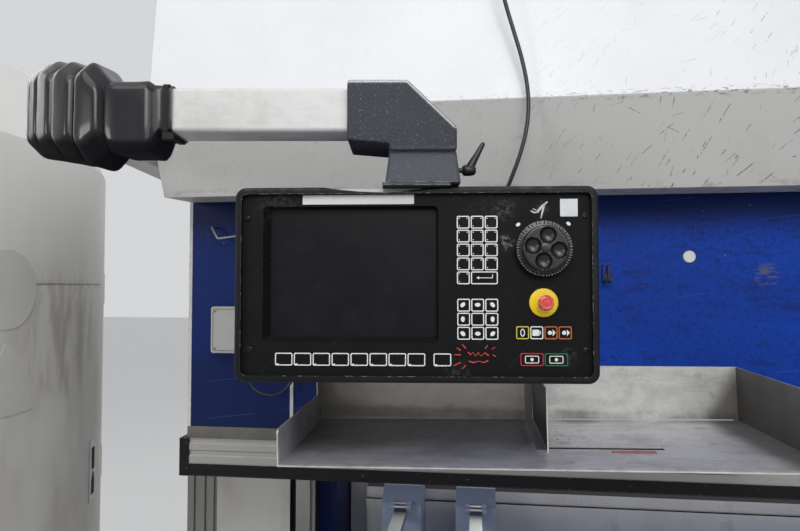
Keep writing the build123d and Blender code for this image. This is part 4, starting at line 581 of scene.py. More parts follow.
def rubber(name, colour, roughness, crease=True):
    """Black rubber; a bellows has dusty creases."""
    finish = Finish(name, colour, roughness, Specular_IOR_Level=0.2, Coat_Roughness=0.13)
    finish.stain(toned(colour, 1.8, 0.003), 0.4, 0.5, 0.8, 13, 4, 0.65)
    if crease:
        finish.stain((0.12, 0.12, 0.117), 0.35, 0.42, 0.6, 50, 3, where=finish.edges(0.002, 0.03, 0.3))
    finish.polish(finish.grain(30, 3).over(0.4, 0.7), roughness + 0.08)
    under = finish.facing((0, 0, -1), 0.1, 0.6)
    finish.polish(under, 0.95)
    finish.feed(finish.shader.inputs["Coat Weight"], (1 - under) * 0.4)
    finish.bump(finish.grain(360, 2), 0.00008)
    return finish.done()


def brushed(name, colour, roughness, stains, scratch, metal=1.0):
    """Brushed or ground metal: fine lines along X, stains and scratches."""
    finish = Finish(name, colour, roughness, metal)
    lines = finish.grain(900, 3, 0.6, (0.02, 1, 1))
    finish.paint(lines.over(0.45, 0.6) * 0.3, toned(colour, 0.72))
    finish.bump(lines, 0.00004)
    stain = finish.grain(8, 5, 0.7).over(0.48, 0.72)
    finish.paint(stain * stains, (0.18, 0.17, 0.16))
    finish.polish(stain * stains * 1.5, roughness + 0.18)
    for seed, angle in ((1.3, 0.35), (6.1, -0.8), (9.7, 1.3)):
        marks = finish.scratches(angle, 0.12, 0.03, 0.0007, 0.4, "XZ", seed)
        finish.paint(marks * scratch, tuple(min(c * 1.35, 0.8) for c in colour))
    return finish.done()


def tray_steel():
    """Stainless sheet: soft brushing, oily grime, painted shade mixed with grime in the left bay and at the
    left end, a painted shadow and painted shade at the right, a painted highlight along the front lip, darker
    along the back wall's foot, bright folds.
    """
    finish = Finish("tray_steel", (0.56, 0.555, 0.545), 0.42, 0.45)
    (left, front, bottom), (right, back, _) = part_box("tray")
    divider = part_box("tray_divider")[1].x
    x, y, z = (finish.along(axis) for axis in "XYZ")
    lines = finish.grain(700, 3, 0.6, (0.03, 1, 1))
    finish.paint(lines.over(0.45, 0.6) * 0.25, (0.46, 0.455, 0.445))
    stain = finish.grain(9, 6, 0.72).over(0.44, 0.68)
    finish.paint(stain * 0.55, (0.33, 0.32, 0.30))
    finish.stain((0.30, 0.29, 0.275), 0.4, 0.46, 0.66, 30, 5, 0.7, (0.25, 1, 1), (4, 1, 2))
    finish.stain((0.68, 0.68, 0.67), 0.35, 0.55, 0.7, 55, 4, 0.7, (0.5, 1, 1), (1, 7, 3))
    spots = finish.cells(17, (2, 2, 1)).under(0.12, 0.30)
    finish.stain((0.17, 0.16, 0.15), 0.4, 0.48, 0.58, 13, 3, where=spots)
    floor = z.under(bottom + 0.023, bottom + 0.029)
    for seed, angle in ((1.3, 0.35), (6.1, -0.8), (9.7, 1.2)):
        marks = finish.scratches(angle, 0.10, 0.03, 0.0006, 0.4, "XY", seed)
        finish.paint(marks * floor * 0.5, (0.74, 0.74, 0.73))
    pitted = finish.patch((divider + 0.0317, back - 0.16, bottom + 0.013), 0.07, 0.5, 1.0)
    holes = finish.cells(60, (3, 1, 1)).under(0.16, 0.22)
    finish.stain((0.035, 0.028, 0.022), 0.9, 0.44, 0.5, 45, 2, where=holes * pitted)
    # Darker along the foot of the back wall; painted shade mixed with grime in the left bay and at the left
    # end; a painted shadow at the right end and painted shade on the right wall
    wall_side = y.over(back - 0.06, back - 0.02)
    foot = abs(z - (bottom + 0.023)).under(0.004, 0.026) * wall_side
    finish.stain((0.16, 0.15, 0.14), 0.5, 0.4, 0.6, 12, 4, 0.65, where=foot)
    cloud = finish.grain(5, 4, 0.6, shift=(1, 2, 6))
    deep = (y + cloud * 0.16).over(back - 0.29, back - 0.10)
    left_bay = x.under(divider - 0.0333, divider + 0.0007)
    # Painted shade mixed with grime: the left bay's floor darker towards the back
    finish.paint(left_bay * deep * finish.facing((0, 0, 1), 0.6, 0.9) * 0.9, (0.034, 0.030, 0.027))
    # Painted shade mixed with grime on the left bay's back wall
    back_wall = left_bay * finish.facing((0, -1, 0), 0.6, 0.9) * wall_side
    finish.paint(back_wall * 0.6, (0.17, 0.150, 0.138))
    # Painted shade mixed with grime at the left end
    left_end = (x + cloud * 0.1).under(left + 0.0804, left + 0.2604) * y.over(back - 0.34, back - 0.22)
    finish.paint(left_end * 0.6, (0.06, 0.056, 0.052))
    # Painted shadow: a dark edge leaning across the back wall's right end
    leaning = x - (z - (bottom + 0.021)) * 0.6 + cloud * 0.05
    finish.paint(leaning.over(right - 0.0723, right - 0.0223) * 0.8, (0.075, 0.070, 0.064))
    # Painted shade on the tray's right wall
    right_wall = finish.facing((-1, 0, 0), 0.7, 0.9) * x.over(left + 0.3804, left + 0.4304)
    finish.paint(right_wall * 0.8, (0.075, 0.070, 0.064))
    # Painted highlight: pale clouds along the front lip
    finish.stain((0.72, 0.72, 0.72), 0.6, 0.35, 0.6, 25, 4, where=y.under(front + 0.008, front + 0.016))
    fold = abs(z - (bottom + 0.0215)).under(0.006, 0.02) * wall_side * cloud.over(0.3, 0.6)
    finish.paint(fold * 0.5, (0.08, 0.074, 0.068))
    finish.polish(stain, 0.52)
    finish.paint(finish.edges(0.002, 0.05, 0.3) * 0.6, (0.70, 0.70, 0.69))
    finish.bump(lines, 0.00003)
    finish.bump(finish.grain(6, 2), 0.0009)
    return finish.done()


def divider_steel():
    """The tray's divider: an oily dark left face and a bright cut edge."""
    finish = Finish("divider_steel", (0.50, 0.495, 0.485), 0.42, 0.45)
    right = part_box("tray_divider")[1].x
    left_face = finish.facing((-1, 0, 0), 0.6, 0.8)
    finish.paint(left_face, (0.022, 0.020, 0.018))
    finish.stain((0.07, 0.065, 0.06), 0.4, 0.5, 0.7, 30, 4, 0.65, where=left_face)
    sheet = finish.along("X").over(right - 0.0038, right - 0.0028)
    finish.paint((1 - sheet) * 0.8, (0.085, 0.080, 0.074))
    specks = finish.cells(95).under(0.14, 0.2)
    finish.stain((0.42, 0.41, 0.40), 0.7, 0.5, 0.56, 22, 2, where=specks * left_face)
    finish.paint(finish.facing((0, -1, 0), 0.7, 0.9) * sheet * 0.85, (0.80, 0.80, 0.79))
    finish.bump(finish.grain(500, 2), 0.00004)
    return finish.done()


def beam_aluminium():
    """Bright drawn beam, darker at its left part as a painted reflection; its top face is painted near black
    as painted shade, with dust and oil.
    """
    finish = Finish("beam_aluminium", (0.90, 0.90, 0.90), 0.3, 0.4)
    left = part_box("gauge_beam")[0].x
    lines = finish.grain(500, 3, 0.6, (1, 1, 0.02))
    finish.paint(lines.over(0.45, 0.6) * 0.25, (0.70, 0.70, 0.70))
    finish.stain((0.55, 0.54, 0.52), 0.35, 0.45, 0.62, 2.4, 3, 0.6, (1, 1, 0.25), (3, 0, 1))
    # Painted reflection: the left part darker, so the right part stands out bright like a mirrored patch
    finish.paint(finish.along("X").under(left + 0.388, left + 0.938) * 0.45, (0.50, 0.49, 0.47))
    finish.stain((0.42, 0.42, 0.43), 0.3, 0.55, 0.75, 14, 4, 0.6, (1, 1, 0.4))
    # Painted shade with dust and oil: the top face painted near black
    top = finish.facing((0, 0, 1), 0.5, 0.9)
    finish.paint(top, (0.03, 0.03, 0.033))
    finish.polish(top, 0.9)
    finish.feed(finish.shader.inputs["Metallic"], (1 - top) * 0.4)
    finish.bump(lines, 0.00003)
    return finish.done()


def hook_steel():
    """Bent rod, blackened on the right hook and bare on the left one."""
    finish = Finish("hook_steel", (0.34, 0.345, 0.36), 0.35, 0.6)
    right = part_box("ram_hooks")[1].x
    finish.paint(finish.along("X").over(right - 0.3945, right - 0.2945) * 0.92, (0.020, 0.024, 0.036))
    finish.stain((0.12, 0.125, 0.13), 0.35, 0.5, 0.62, 120, 3)
    return finish.done()


def clamp_aluminium():
    """Drawn aluminium with rubbed bands along its length."""
    finish = Finish("clamp_aluminium", (0.34, 0.335, 0.325), 0.42, 0.5)
    lines = finish.grain(800, 3, 0.6, (0.015, 1, 1))
    finish.paint(lines.over(0.45, 0.62) * 0.3, (0.27, 0.265, 0.255))
    finish.stain((0.24, 0.23, 0.215), 0.35, 0.5, 0.75, 10, 5, 0.7, (0.5, 1, 1))
    finish.paint(finish.scratches(1.35, 0.03, 0.07, 0.0008, 0.25, seed=4.4) * 0.5, (0.12, 0.12, 0.12))
    finish.bump(lines, 0.00005)
    return finish.done()


def dull_steel():
    """Unpainted plate that has browned in a workshop."""
    finish = Finish("dull_steel", (0.13, 0.123, 0.112), 0.55, 0.3)
    finish.stain((0.075, 0.068, 0.060), 0.6, 0.45, 0.7, 22, 5, 0.7, (0.5, 1, 1))
    finish.bump(finish.grain(300, 2), 0.00008)
    return finish.done()


def black_oxide():
    """Blackened steel, chipped and rubbed along its edges."""
    finish = Finish("black_oxide", (0.0055, 0.0058, 0.0068), 0.42, Specular_IOR_Level=0.18)
    finish.stain((0.014, 0.014, 0.015), 0.5, 0.5, 0.75, 18, 5, 0.7, (0.4, 1, 1))
    finish.stain((0.14, 0.14, 0.14), 0.5, 0.68, 0.72, 110, 3, 0.6, (0.7, 1, 1))
    finish.stain((0.22, 0.22, 0.22), 0.6, 0.52, 0.62, 70, 3, where=finish.edges(0.0016, 0.04, 0.25))
    return finish.done()


def sheet_steel():
    """Zinc-coated sheet with its pale crystals."""
    finish = Finish("sheet_steel", (0.42, 0.43, 0.44), 0.42, 0.8)
    finish.paint(finish.cells(60).over(0.2, 0.7) * 0.35, (0.30, 0.31, 0.32))
    finish.stain((0.25, 0.25, 0.24), 0.35, 0.5, 0.75, 7, 4)
    return finish.done()


def chrome_rod():
    """Hard chrome with a film of oil."""
    finish = Finish("chrome_rod", (0.60, 0.60, 0.61), 0.12, 1.0)
    finish.polish(finish.grain(20, 4).over(0.5, 0.8), 0.25)
    return finish.done()


PRINT_COLOURS = {
    "white_print": (0.66, 0.66, 0.65),
    "yellow_print": (0.50, 0.42, 0.05),
    "orange_print": (0.42, 0.11, 0.02),
    "red_print": (0.36, 0.02, 0.035),
    "green_print": (0.01, 0.12, 0.04),
}


def make_finishes(colours):
    """Every finish by its name, made once."""
    return {
        "blue": blue_enamel(colours),
        "hood": hood_enamel(colours),
        "cabinet": cabinet_enamel(colours),
        "arm": arm_enamel(colours),
        "casting": casting_enamel(colours),
        "dark": enamel("dark_enamel", (0.03, 0.034, 0.038), 0.42, wear=(0.2, 0.2, 0.2)).done(),
        "divider": divider_steel(),
        "hooks": hook_steel(),
        "slate": enamel("slate_enamel", (0.36, 0.44, 0.60), 0.42, wear=(0.35, 0.36, 0.38)).done(),
        "panel": panel_enamel(),
        "film": film_black(),
        "screen": screen_glass(),
        "plastic": moulded("black_plastic", (0.010, 0.0103, 0.012), 0.38, (0.16, 0.16, 0.17), shine=0.35),
        # Its pale scuffed edges are partly wear and partly a painted highlight on the teeth
        "wheel_plastic": moulded(
            "wheel_plastic", (0.006, 0.0062, 0.0072), 0.3, (0.30, 0.30, 0.32), 0.0011, 0.4, 0.5
        ),
        "light_plastic": moulded("light_plastic", (0.40, 0.40, 0.385), 0.5, (0.2, 0.2, 0.2)),
        "white_plastic": moulded("white_plastic", (0.70, 0.70, 0.67), 0.38, (0.5, 0.5, 0.5)),
        "shadow_gap": moulded("shadow_gap", (0.02, 0.02, 0.02), 0.7, (0.03, 0.03, 0.03), shine=0.1),
        "yellow": moulded("stop_yellow", (0.72, 0.50, 0.012), 0.4, (0.6, 0.45, 0.1)),
        "red": stop_red(),
        "bellows": rubber("bellows_rubber", (0.0056, 0.0058, 0.0072), 0.3),
        "cable": rubber("cable_sheath", (0.012, 0.012, 0.013), 0.45, crease=False),
        "tray": tray_steel(),
        "aluminium": clamp_aluminium(),
        "dull": dull_steel(),
        "oxide": black_oxide(),
        "sheet": sheet_steel(),
        "ground": brushed("ground_steel", (0.46, 0.46, 0.455), 0.3, 0.35, 0.2),
        "beam": beam_aluminium(),
        "chrome": chrome_rod(),
        "rib_scuff": printed("rib_scuff", (0.24, 0.24, 0.245), 1.0),
        "pale_smear": printed("pale_smear", (0.46, 0.46, 0.47), 1.0),
        "bright_rim": moulded("bright_rim", (0.50, 0.50, 0.50), 0.4, (0.62, 0.62, 0.62), 0.0012, 0.6),
        "screw_steel": brushed("screw_steel", (0.22, 0.22, 0.215), 0.4, 0.4, 0.1, 0.6),
        **{name: printed(name, colour) for name, colour in PRINT_COLOURS.items()},
        "strip_paper": printed("strip_paper", (0.55, 0.55, 0.53), 0.25),
        "plate_enamel": enamel("plate_enamel", (0.62, 0.61, 0.585), 0.4, wear=(0.3, 0.3, 0.3)).done(),
        "paint_mark": printed("paint_mark", (0.45, 0.05, 0.03), 0.7),
        "dried_paint": printed("dried_paint", (0.36, 0.13, 0.11), 0.7),
    }


NODE_FINISHES = {
    "left_upright": "blue", "right_upright": "blue", "base_feet": "dark", "table_beam": "blue",
    "die_holder": "ground", "cross_ties": "blue", "guide_rails": "ground", "guide_shoes": "casting",
    "cylinders": "dark", "piston_rods": "chrome", "hood_cover": "hood", "oil_tank": "arm",
    "pump_motor": "dark", "valve_blocks": "ground", "side_casings": "cabinet",
    "casing_posts": "aluminium", "arm_bracket": "arm", "inner_arm": "arm", "gauge_rails": "ground",
    "cabinet_shell": "cabinet", "cabinet_plinth": "dark", "mounting_plate": "sheet",
    "cable_duct": "sheet", "hood_glands": "plastic", "hood_cable": "cable", "ram_plate": "blue",
    "ram_end_strips": "arm", "clamp_adapter": "dull", "clamp_body": "aluminium",
    "clamp_jaws": "oxide", "clamp_end_caps": "oxide", "tray": "tray", "tray_divider": "divider",
    "ram_hooks": "hooks", "hole_plug": "white_plastic", "junction_box": "light_plastic",
    "ram_cable": "cable", "outer_arm": "arm", "elbow_fork": "ground", "bellows": "bellows",
    "knuckle": "casting", "swivel_coupling": "casting", "panel_bezel": "panel",
    "panel_face": "film", "screen_glass": "screen", "keypad": "film", "panel_housing": "panel",
    "estop_collar": "yellow", "estop_button": "red", "handwheel": "wheel_plastic",
    "clamp_lever": "plastic", "gauge_towers": "blue", "gauge_beam": "beam",
    "left_carriage": "slate", "right_carriage": "slate", "left_finger": "ground",
    "right_finger": "ground", "cabinet_door": "cabinet", "door_handle": "plastic",
}

finishes = {}


# Mesh helpers
def linked(name, data):
    """A new object in the scene."""
    made = bpy.data.objects.new(name, data)
    bpy.context.scene.collection.objects.link(made)
    return made


def piece(name, builder, finish, body, smooth=None):
    """Builds a piece that rides on a body, in a finish."""
    mesh = mesh_from(builder)
    mesh.materials.append(finishes[finish])
    made = linked(name, mesh)
    if smooth is not None:
        shade_smooth(made, smooth)
    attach(made, body)
    return made


def shade_smooth(made, angle):
    """Smooth faces whose edges turn by less than an angle, in degrees."""
    for face in made.data.polygons:
        face.use_smooth = True
    made.data.set_sharp_from_angle(angle=math.radians(angle))


def mesh_from(builder):
    """A mesh from a function that fills a bmesh."""
    work = bmesh.new()
    builder(work)
    bmesh.ops.recalc_face_normals(work, faces=work.faces)
    mesh = bpy.data.meshes.new("form")
    work.to_mesh(mesh)
    work.free()
    return mesh


def rounded_corners(half_width, half_height, radius, steps=5):
    """The outline of a rounded rectangle about the origin."""
    points = []
    for quarter in range(4):
        angle = math.pi / 2 * quarter
        sx = 1 if quarter in (0, 3) else -1
        sy = 1 if quarter in (0, 1) else -1
        for step in range(steps + 1):
            turn = angle + math.pi / 2 * step / steps
            points.append((
                sx * (half_width - radius) + radius * math.cos(turn),
                sy * (half_height - radius) + radius * math.sin(turn),
            ))
    return points


def join(work, rows, closed=True):
    """Faces between neighbouring rows of points; a row of one point ends a form."""
    steps = max(len(row) for row in rows)
    for first, second in zip(rows, rows[1:]):
        for n in range(steps if closed else steps - 1):
            m = (n + 1) % steps
            corners = [first[n % len(first)], first[m % len(first)]]
            corners += [second[m % len(second)], second[n % len(second)]]
            corners = list(dict.fromkeys(corners))
            if len(corners) > 2:
                work.faces.new(corners)


def box_outline(u0, v0, u1, v1):
    return [(u0, v0), (u1, v0), (u1, v1), (u0, v1)]


def plate(work, outline, place, low, high):
    """A flat solid plate: an outline placed by a function of (u, v, w)."""
    rows = [[work.verts.new(place(u, v, w)) for u, v in outline] for w in (low, high)]
    work.faces.new(rows[0][::-1])
    work.faces.new(rows[1])
    join(work, rows)


def ring(work, outer, inner, place, low, high):
    """A flat frame between two outlines of as many points."""
    rows = [
        [work.verts.new(place(u, v, w)) for u, v in line]
        for line, w in ((outer, low), (outer, high), (inner, high), (inner, low))
    ]
    join(work, rows + rows[:1])


def lathe(work, profile, origin, axis, side, steps=48, unit=1.0):
    """A turned solid: (radius, height) pairs in a unit, about an axis, closed at radius 0."""
    axis = Vector(axis).normalized()
    side = (Vector(side) - axis * axis.dot(Vector(side))).normalized()
    other = axis.cross(side)
    rows = []
    for radius, height in profile:
        centre = Vector(origin) + axis * (height * unit)
        if radius == 0:
            rows.append([work.verts.new(centre)])
            continue
        turns = [2 * math.pi * step / steps for step in range(steps)]
        outward = [side * math.cos(turn) + other * math.sin(turn) for turn in turns]
        rows.append([work.verts.new(centre + way * (radius * unit)) for way in outward])
    join(work, rows)


def socket_screw(work, place, axis, radius):
    """A cap screw's head with its hexagon socket, seated at a place."""
    side = Vector(axis).orthogonal().normalized()
    height = radius * 0.7
    profile = [
        (0, 0), (radius, 0), (radius, height * 0.85), (radius * 0.9, height), (radius * 0.55, height),
        (radius * 0.55, height * 0.4), (0, height * 0.4),
    ]
    lathe(work, profile, place, axis, side, 14)


class PRESSBRAKE_OT_finishes(bpy.types.Operator):
    """Gives every construction piece its finish"""

    bl_idname = "pressbrake.finishes"
    bl_label = "Finishes"

    def execute(self, context):
        finishes.update(make_finishes(context.scene.press_colours))
        for name, node in NODES.items():
            node.data.materials.clear()
            node.data.materials.append(finishes[NODE_FINISHES[name]])
            shade_smooth(node, 32)
        return {"FINISHED"}


class PRESSBRAKE_OT_cables(bpy.types.Operator):
    """Hangs the hood's cable and the ram's short cable"""

    bl_idname = "pressbrake.cables"
    bl_label = "Cables"

    def execute(self, context):
        self.cable("hood_cable", HOOD_CABLE_ROUTE, HOOD_CABLE_LENGTH, 0.008, "frame")
        self.cable("ram_cable", RAM_CABLE_ROUTE, RAM_CABLE_LENGTH, 0.007, "ram")
        return {"FINISHED"}

    def cable(self, node, route, length, diameter, body):
        """A cable on a smooth spline through its route's control points, in place of its node."""
        curve = bpy.data.curves.new(node + "_sheath", "CURVE")
        curve.dimensions = "3D"
        spline = curve.splines.new("NURBS")
        spline.points.add(len(route) - 1)
        for point, place in zip(spline.points, route):
            point.co = (*place, 1.0)
        spline.order_u = 3
        spline.use_endpoint_u = True
        spline.resolution_u = 12
        curve.bevel_depth = diameter / 2
        curve.bevel_resolution = 5
        curve.use_fill_caps = True
        curve.materials.append(finishes["cable"])
        made = linked(node + "_sheath", curve)
        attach(made, body)
        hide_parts(node)


def bellows_ring(angle, along, sizes, level):
    """A place on the bellows' centre line, the way it runs there and the way out of the bend."""
    turn = math.radians(min(max(angle, 0), 90))
    forward = ARM_BACK * math.sin(turn) - ARM_WAY * math.cos(turn)
    outward = -ARM_WAY * math.sin(turn) - ARM_BACK * math.cos(turn)
    pin = Vector(JOINTS["arm_elbow"]["pos_m"])
    centre = pin + (ARM_WAY + ARM_BACK) * sizes.radius * math.sin(math.pi / 4)
    place = centre + outward * sizes.radius + forward * along
    place.z = level
    return place, forward, outward


def octagon(half_deep, half_tall, corner):
    """A soft-cornered octagon as points that go round it, finely divided."""
    soften, per_corner, per_side = 0.35, 4, 4
    base = [
        (half_deep, -half_tall + corner), (half_deep, half_tall - corner),
        (half_deep - corner, half_tall), (-half_deep + corner, half_tall),
        (-half_deep, half_tall - corner), (-half_deep, -half_tall + corner),
        (-half_deep + corner, -half_tall), (half_deep - corner, -half_tall),
    ]
    points = []
    for n, here in enumerate(base):
        before, after = base[n - 1], base[(n + 1) % 8]
        reach = corner * soften
        start = Vector(here) + (Vector(before) - Vector(here)).normalized() * reach
        end = Vector(here) + (Vector(after) - Vector(here)).normalized() * reach
        for step in range(per_corner):
            t = step / (per_corner - 1)
            points.append(start * (1 - t) ** 2 + Vector(here) * 2 * t * (1 - t) + end * t * t)
        next_start = Vector(after) + (Vector(here) - Vector(after)).normalized() * reach
        for step in range(1, per_side):
            points.append(end + (next_start - end) * step / per_side)
    return [tuple(p) for p in points]


def rib_height(phase):
    """A rib's front from crease to crease: a steep rise, a flat crown and a steep fall."""
    if phase < 0.2:
        return math.sin(math.pi / 2 * phase / 0.2) ** 0.7
    if phase < 0.78:
        return 1.0
    return math.sin(math.pi / 2 * (1 - phase) / 0.22) ** 0.7


def gable_height(phase):
    """A rib's top from crease to crease: it climbs to a ridge and drops behind it."""
    if phase < 0.66:
        return (phase / 0.66) ** 0.75
    return ((1 - phase) / 0.34) ** 0.8


class PRESSBRAKE_OT_bellows(bpy.types.Operator):
    """Builds the rubber bellows round the elbow's bend"""

    bl_idname = "pressbrake.bellows"
    bl_label = "Bellows"

    def execute(self, context):
        sizes = context.scene.press_bellows
        arm_low, arm_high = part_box("outer_arm")
        half_arm = (arm_high.z - arm_low.z) / 2
        arm_level = (arm_low.z + arm_high.z) / 2
        inner_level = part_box("inner_arm")[1].z - half_arm
        sag = 0.0105
        first_pleat, pleated_angle, per_pleat = 4.6, 88.1, 14
        rows = []

        def add_row(angle, along, deep, tall, corner, level=None, wobble=0.0):
            share = min(max(angle, 0), 90) / 90
            if level is None:
                level = arm_level - sag + (inner_level - arm_level + sag) * share
            place, _, outward = bellows_ring(angle, along, sizes, level)
            row = []
            for u, v in octagon(deep, tall, corner):
                point = place + outward * u + UP * v
                if wobble:
                    waves = noise.noise(point * 14) * wobble
                    push = waves + noise.noise(point * 45) * wobble * 0.35
                    point += (outward * u + UP * v).normalized() * push
                row.append(point)
            rows.append(row)

        # The collar on the outer arm, then the neck
        for along, reach, corner in (
            (-0.0775, 0.0348, 0.005), (-0.0750, 0.0355, 0.006), (-0.0615, 0.0355, 0.006),
            (-0.0585, 0.0362, 0.007),
        ):
            add_row(0, along, reach, reach, corner, arm_level)
        for along, deep, tall in (
            (-0.0505, 0.0420, 0.0470), (-0.0450, 0.0455, 0.0510), (-0.0420, 0.0462, 0.0517),
            (-0.0280, 0.0456, 0.0512), (-0.0140, 0.0454, 0.0510), (-0.0010, 0.0456, 0.0512),
        ):
            add_row(0, along, deep, tall, 0.012, wobble=0.0008)
        add_row(2.4, 0.0, 0.0458, 0.0514, 0.012, wobble=0.0008)
        pleat_angle = pleated_angle / sizes.pleats
        for step in range(sizes.pleats * per_pleat + 1):
            angle = first_pleat + step * pleat_angle / per_pleat
            phase = step % per_pleat / per_pleat
            rise, gable = rib_height(phase), gable_height(phase)
            crown = 0.058 - 0.012 * math.sin(2 * math.radians(min(angle, 90)))
            grown = min(1.0, 0.4 + step / per_pleat * 1.1)
            deep = crown - 0.0033 * (1 - grown) - sizes.depth * (1 - rise)
            tall = 0.077 - 0.024 * (1 - grown) - sizes.depth * 1.1 * (1 - gable)
            add_row(angle, 0.0, deep, tall, 0.020 + 0.006 * rise, wobble=0.0016)
        # The neck and the collar on the inner arm
        for along, deep, tall in ((0.014, 0.046, 0.0515), (0.050, 0.0458, 0.0512), (0.056, 0.040, 0.044)):
            add_row(90, along, deep, tall, 0.011)
        for along in (0.060, 0.092):
            add_row(90, along, 0.0355, 0.0355, 0.005)

        mesh = mesh_from(lambda work: join(work, [[work.verts.new(p) for p in row] for row in rows]))
        mesh.materials.append(finishes["bellows"])
        sleeve = linked("bellows_sleeve", mesh)
        wall = sleeve.modifiers.new("wall", "SOLIDIFY")
        wall.thickness = 0.0022
        wall.offset = -1
        context.view_layer.update()
        solid = bpy.data.meshes.new_from_object(sleeve.evaluated_get(context.evaluated_depsgraph_get()))
        sleeve.modifiers.clear()
        sleeve.data = solid
        shade_smooth(sleeve, 50)
        start, _, _ = bellows_ring(80, 0, sizes, arm_level)
        end, _, _ = bellows_ring(4, 0, sizes, arm_level)
        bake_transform(sleeve)
        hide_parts("bellows")
        self.clamp_strap(sizes, arm_level)
        return {"FINISHED"}

    def clamp_strap(self, sizes, level):
        """The strap round the collar, with its loose end below the arm."""
        centre, forward, outward = bellows_ring(0, -0.0682, sizes, level)

        def strap(work):
            def place(u, v, w):
                return centre + outward * u + UP * v - forward * w

            outer = rounded_corners(0.0368, 0.0368, 0.0065, 4)
            inner = rounded_corners(0.0356, 0.0356, 0.0060, 4)
            ring(work, outer, inner, place, -0.004, 0.004)
            flap = [
                (0.030, -0.0368), (0.0362, -0.0345), (0.0375, -0.0440), (0.0335, -0.0462), (0.030, -0.0420),
            ]
            plate(work, flap, place, -0.004, 0.012)

        piece("collar_strap", strap, "shadow_gap", "arm", 40)


def key_islands():
    """Each raised key of the keypad as (centre u, centre v, width, height), in panel millimetres."""
    work = bmesh.new()
    work.from_mesh(NODES["keypad"].data)
    bmesh.ops.remove_doubles(work, verts=work.verts, dist=1e-6)
    left = set(work.verts)
    keys = []
    while left:
        stack = [left.pop()]
        island = set(stack)
        while stack:
            for edge in stack.pop().link_edges:
                for vert in edge.verts:
                    if vert in left:
                        left.discard(vert)
                        island.add(vert)
                        stack.append(vert)
        places = [(v.co - PANEL_CENTRE) / MM for v in island]
        us = [p.dot(ACROSS) for p in places]
        vs = [p.dot(UP) for p in places]
        keys.append((
            (min(us) + max(us)) / 2, (min(vs) + max(vs)) / 2, max(us) - min(us), max(vs) - min(vs),
        ))
    work.free()
    return sorted(keys, key=lambda k: (-round(k[1]), k[0]))


def key_colour(u, v):
    """The colour of a key's printed frame, from where it sits."""
    if v < BOTTOM_ROW_TOP and u > KEYPAD_RIGHT:
        return "red_print" if u < START_STOP_BORDER else "green_print"
    if v < COLOUR_ROW_TOP and u > KEYPAD_RIGHT:
        place = round((u - FIRST_COLOUR_KEY) / KEY_PITCH)
        return ("yellow_print", "white_print", "orange_print", "orange_print")[place]
    return "white_print"


def on_panel(u0, v0):
    """Places a small drawing about a point on the panel, in millimetres."""
    return lambda u, v, w: panel_at(u0 + u, v0 + v, w)


def ellipse(half_width, half_height, steps=16, turn=0.0):
    points = []
    for step in range(steps):
        angle = 2 * math.pi * step / steps
        u, v = half_width * math.cos(angle), half_height * math.sin(angle)
        points.append((u * math.cos(turn) - v * math.sin(turn), u * math.sin(turn) + v * math.cos(turn)))
    return points


def key_marks(work, u, v, width, low, high):
    """The small marks on one key: plain dots, arrows and bars."""
    place = on_panel(u, v)
    if v < BOTTOM_ROW_TOP and u < KEYPAD_RIGHT:
        plate(work, box_outline(-10.5, -7.6, -7.4, -6.2), place, low, high)
    elif v < BOTTOM_ROW_TOP:
        ring(work, rounded_corners(10, 5.4, 2), rounded_corners(8.8, 4.3, 1.4), place, low, high)
        plate(work, ellipse(2.4, 2.4), place, low, high)
    elif v < COLOUR_ROW_TOP and u > KEYPAD_RIGHT:
        number = round((u - FIRST_COLOUR_KEY) / KEY_PITCH)
        if number == 0:
            ring(work, ellipse(3.4, 5.6, 20), ellipse(2.0, 4.2, 20), place, low, high)
        elif number == 1:
            plate(work, rounded_corners(4.6, 4.4, 1.2), on_panel(u - 1.5, v), low, high)
            plate(work, [(3.8, -4.4), (6.4, 0), (3.8, 4.4)], place, low, high)
        else:
            plate(work, ellipse(3.0, 3.0), on_panel(u - 1.5, v), low, high)
            plate(work, [(2.4, -4.8), (6.6, 0), (2.4, 4.8)], place, low, high)
    elif v < CURSOR_ROWS_TOP:
        column = round((u - CURSOR_MIDDLE[0]) / KEY_PITCH)
        row = round((v - CURSOR_MIDDLE[1]) / KEY_PITCH)
        if column or row:
            turn = math.atan2(row, column) + math.pi / 2
            plate(work, ellipse(4.2, 2.9, 10, turn), on_panel(u + column * 1.2, v + row * 0.6), low, high)
    elif width > 30:
        plate(work, [(-11.5, 0), (-7.5, 2.2), (-7.5, -2.2)], place, low, high)
        plate(work, box_outline(-7.5, -0.5, 12, 0.5), place, low, high)
        plate(work, box_outline(11.2, 0.5, 12.2, 5), place, low, high)
    else:
        for du, dv in ((-5.6, -5.4), (-5.8, 5.6), (5.6, 5.6)):
            plate(work, ellipse(0.9, 0.8, 8), on_panel(u + du, v + dv), low, high)


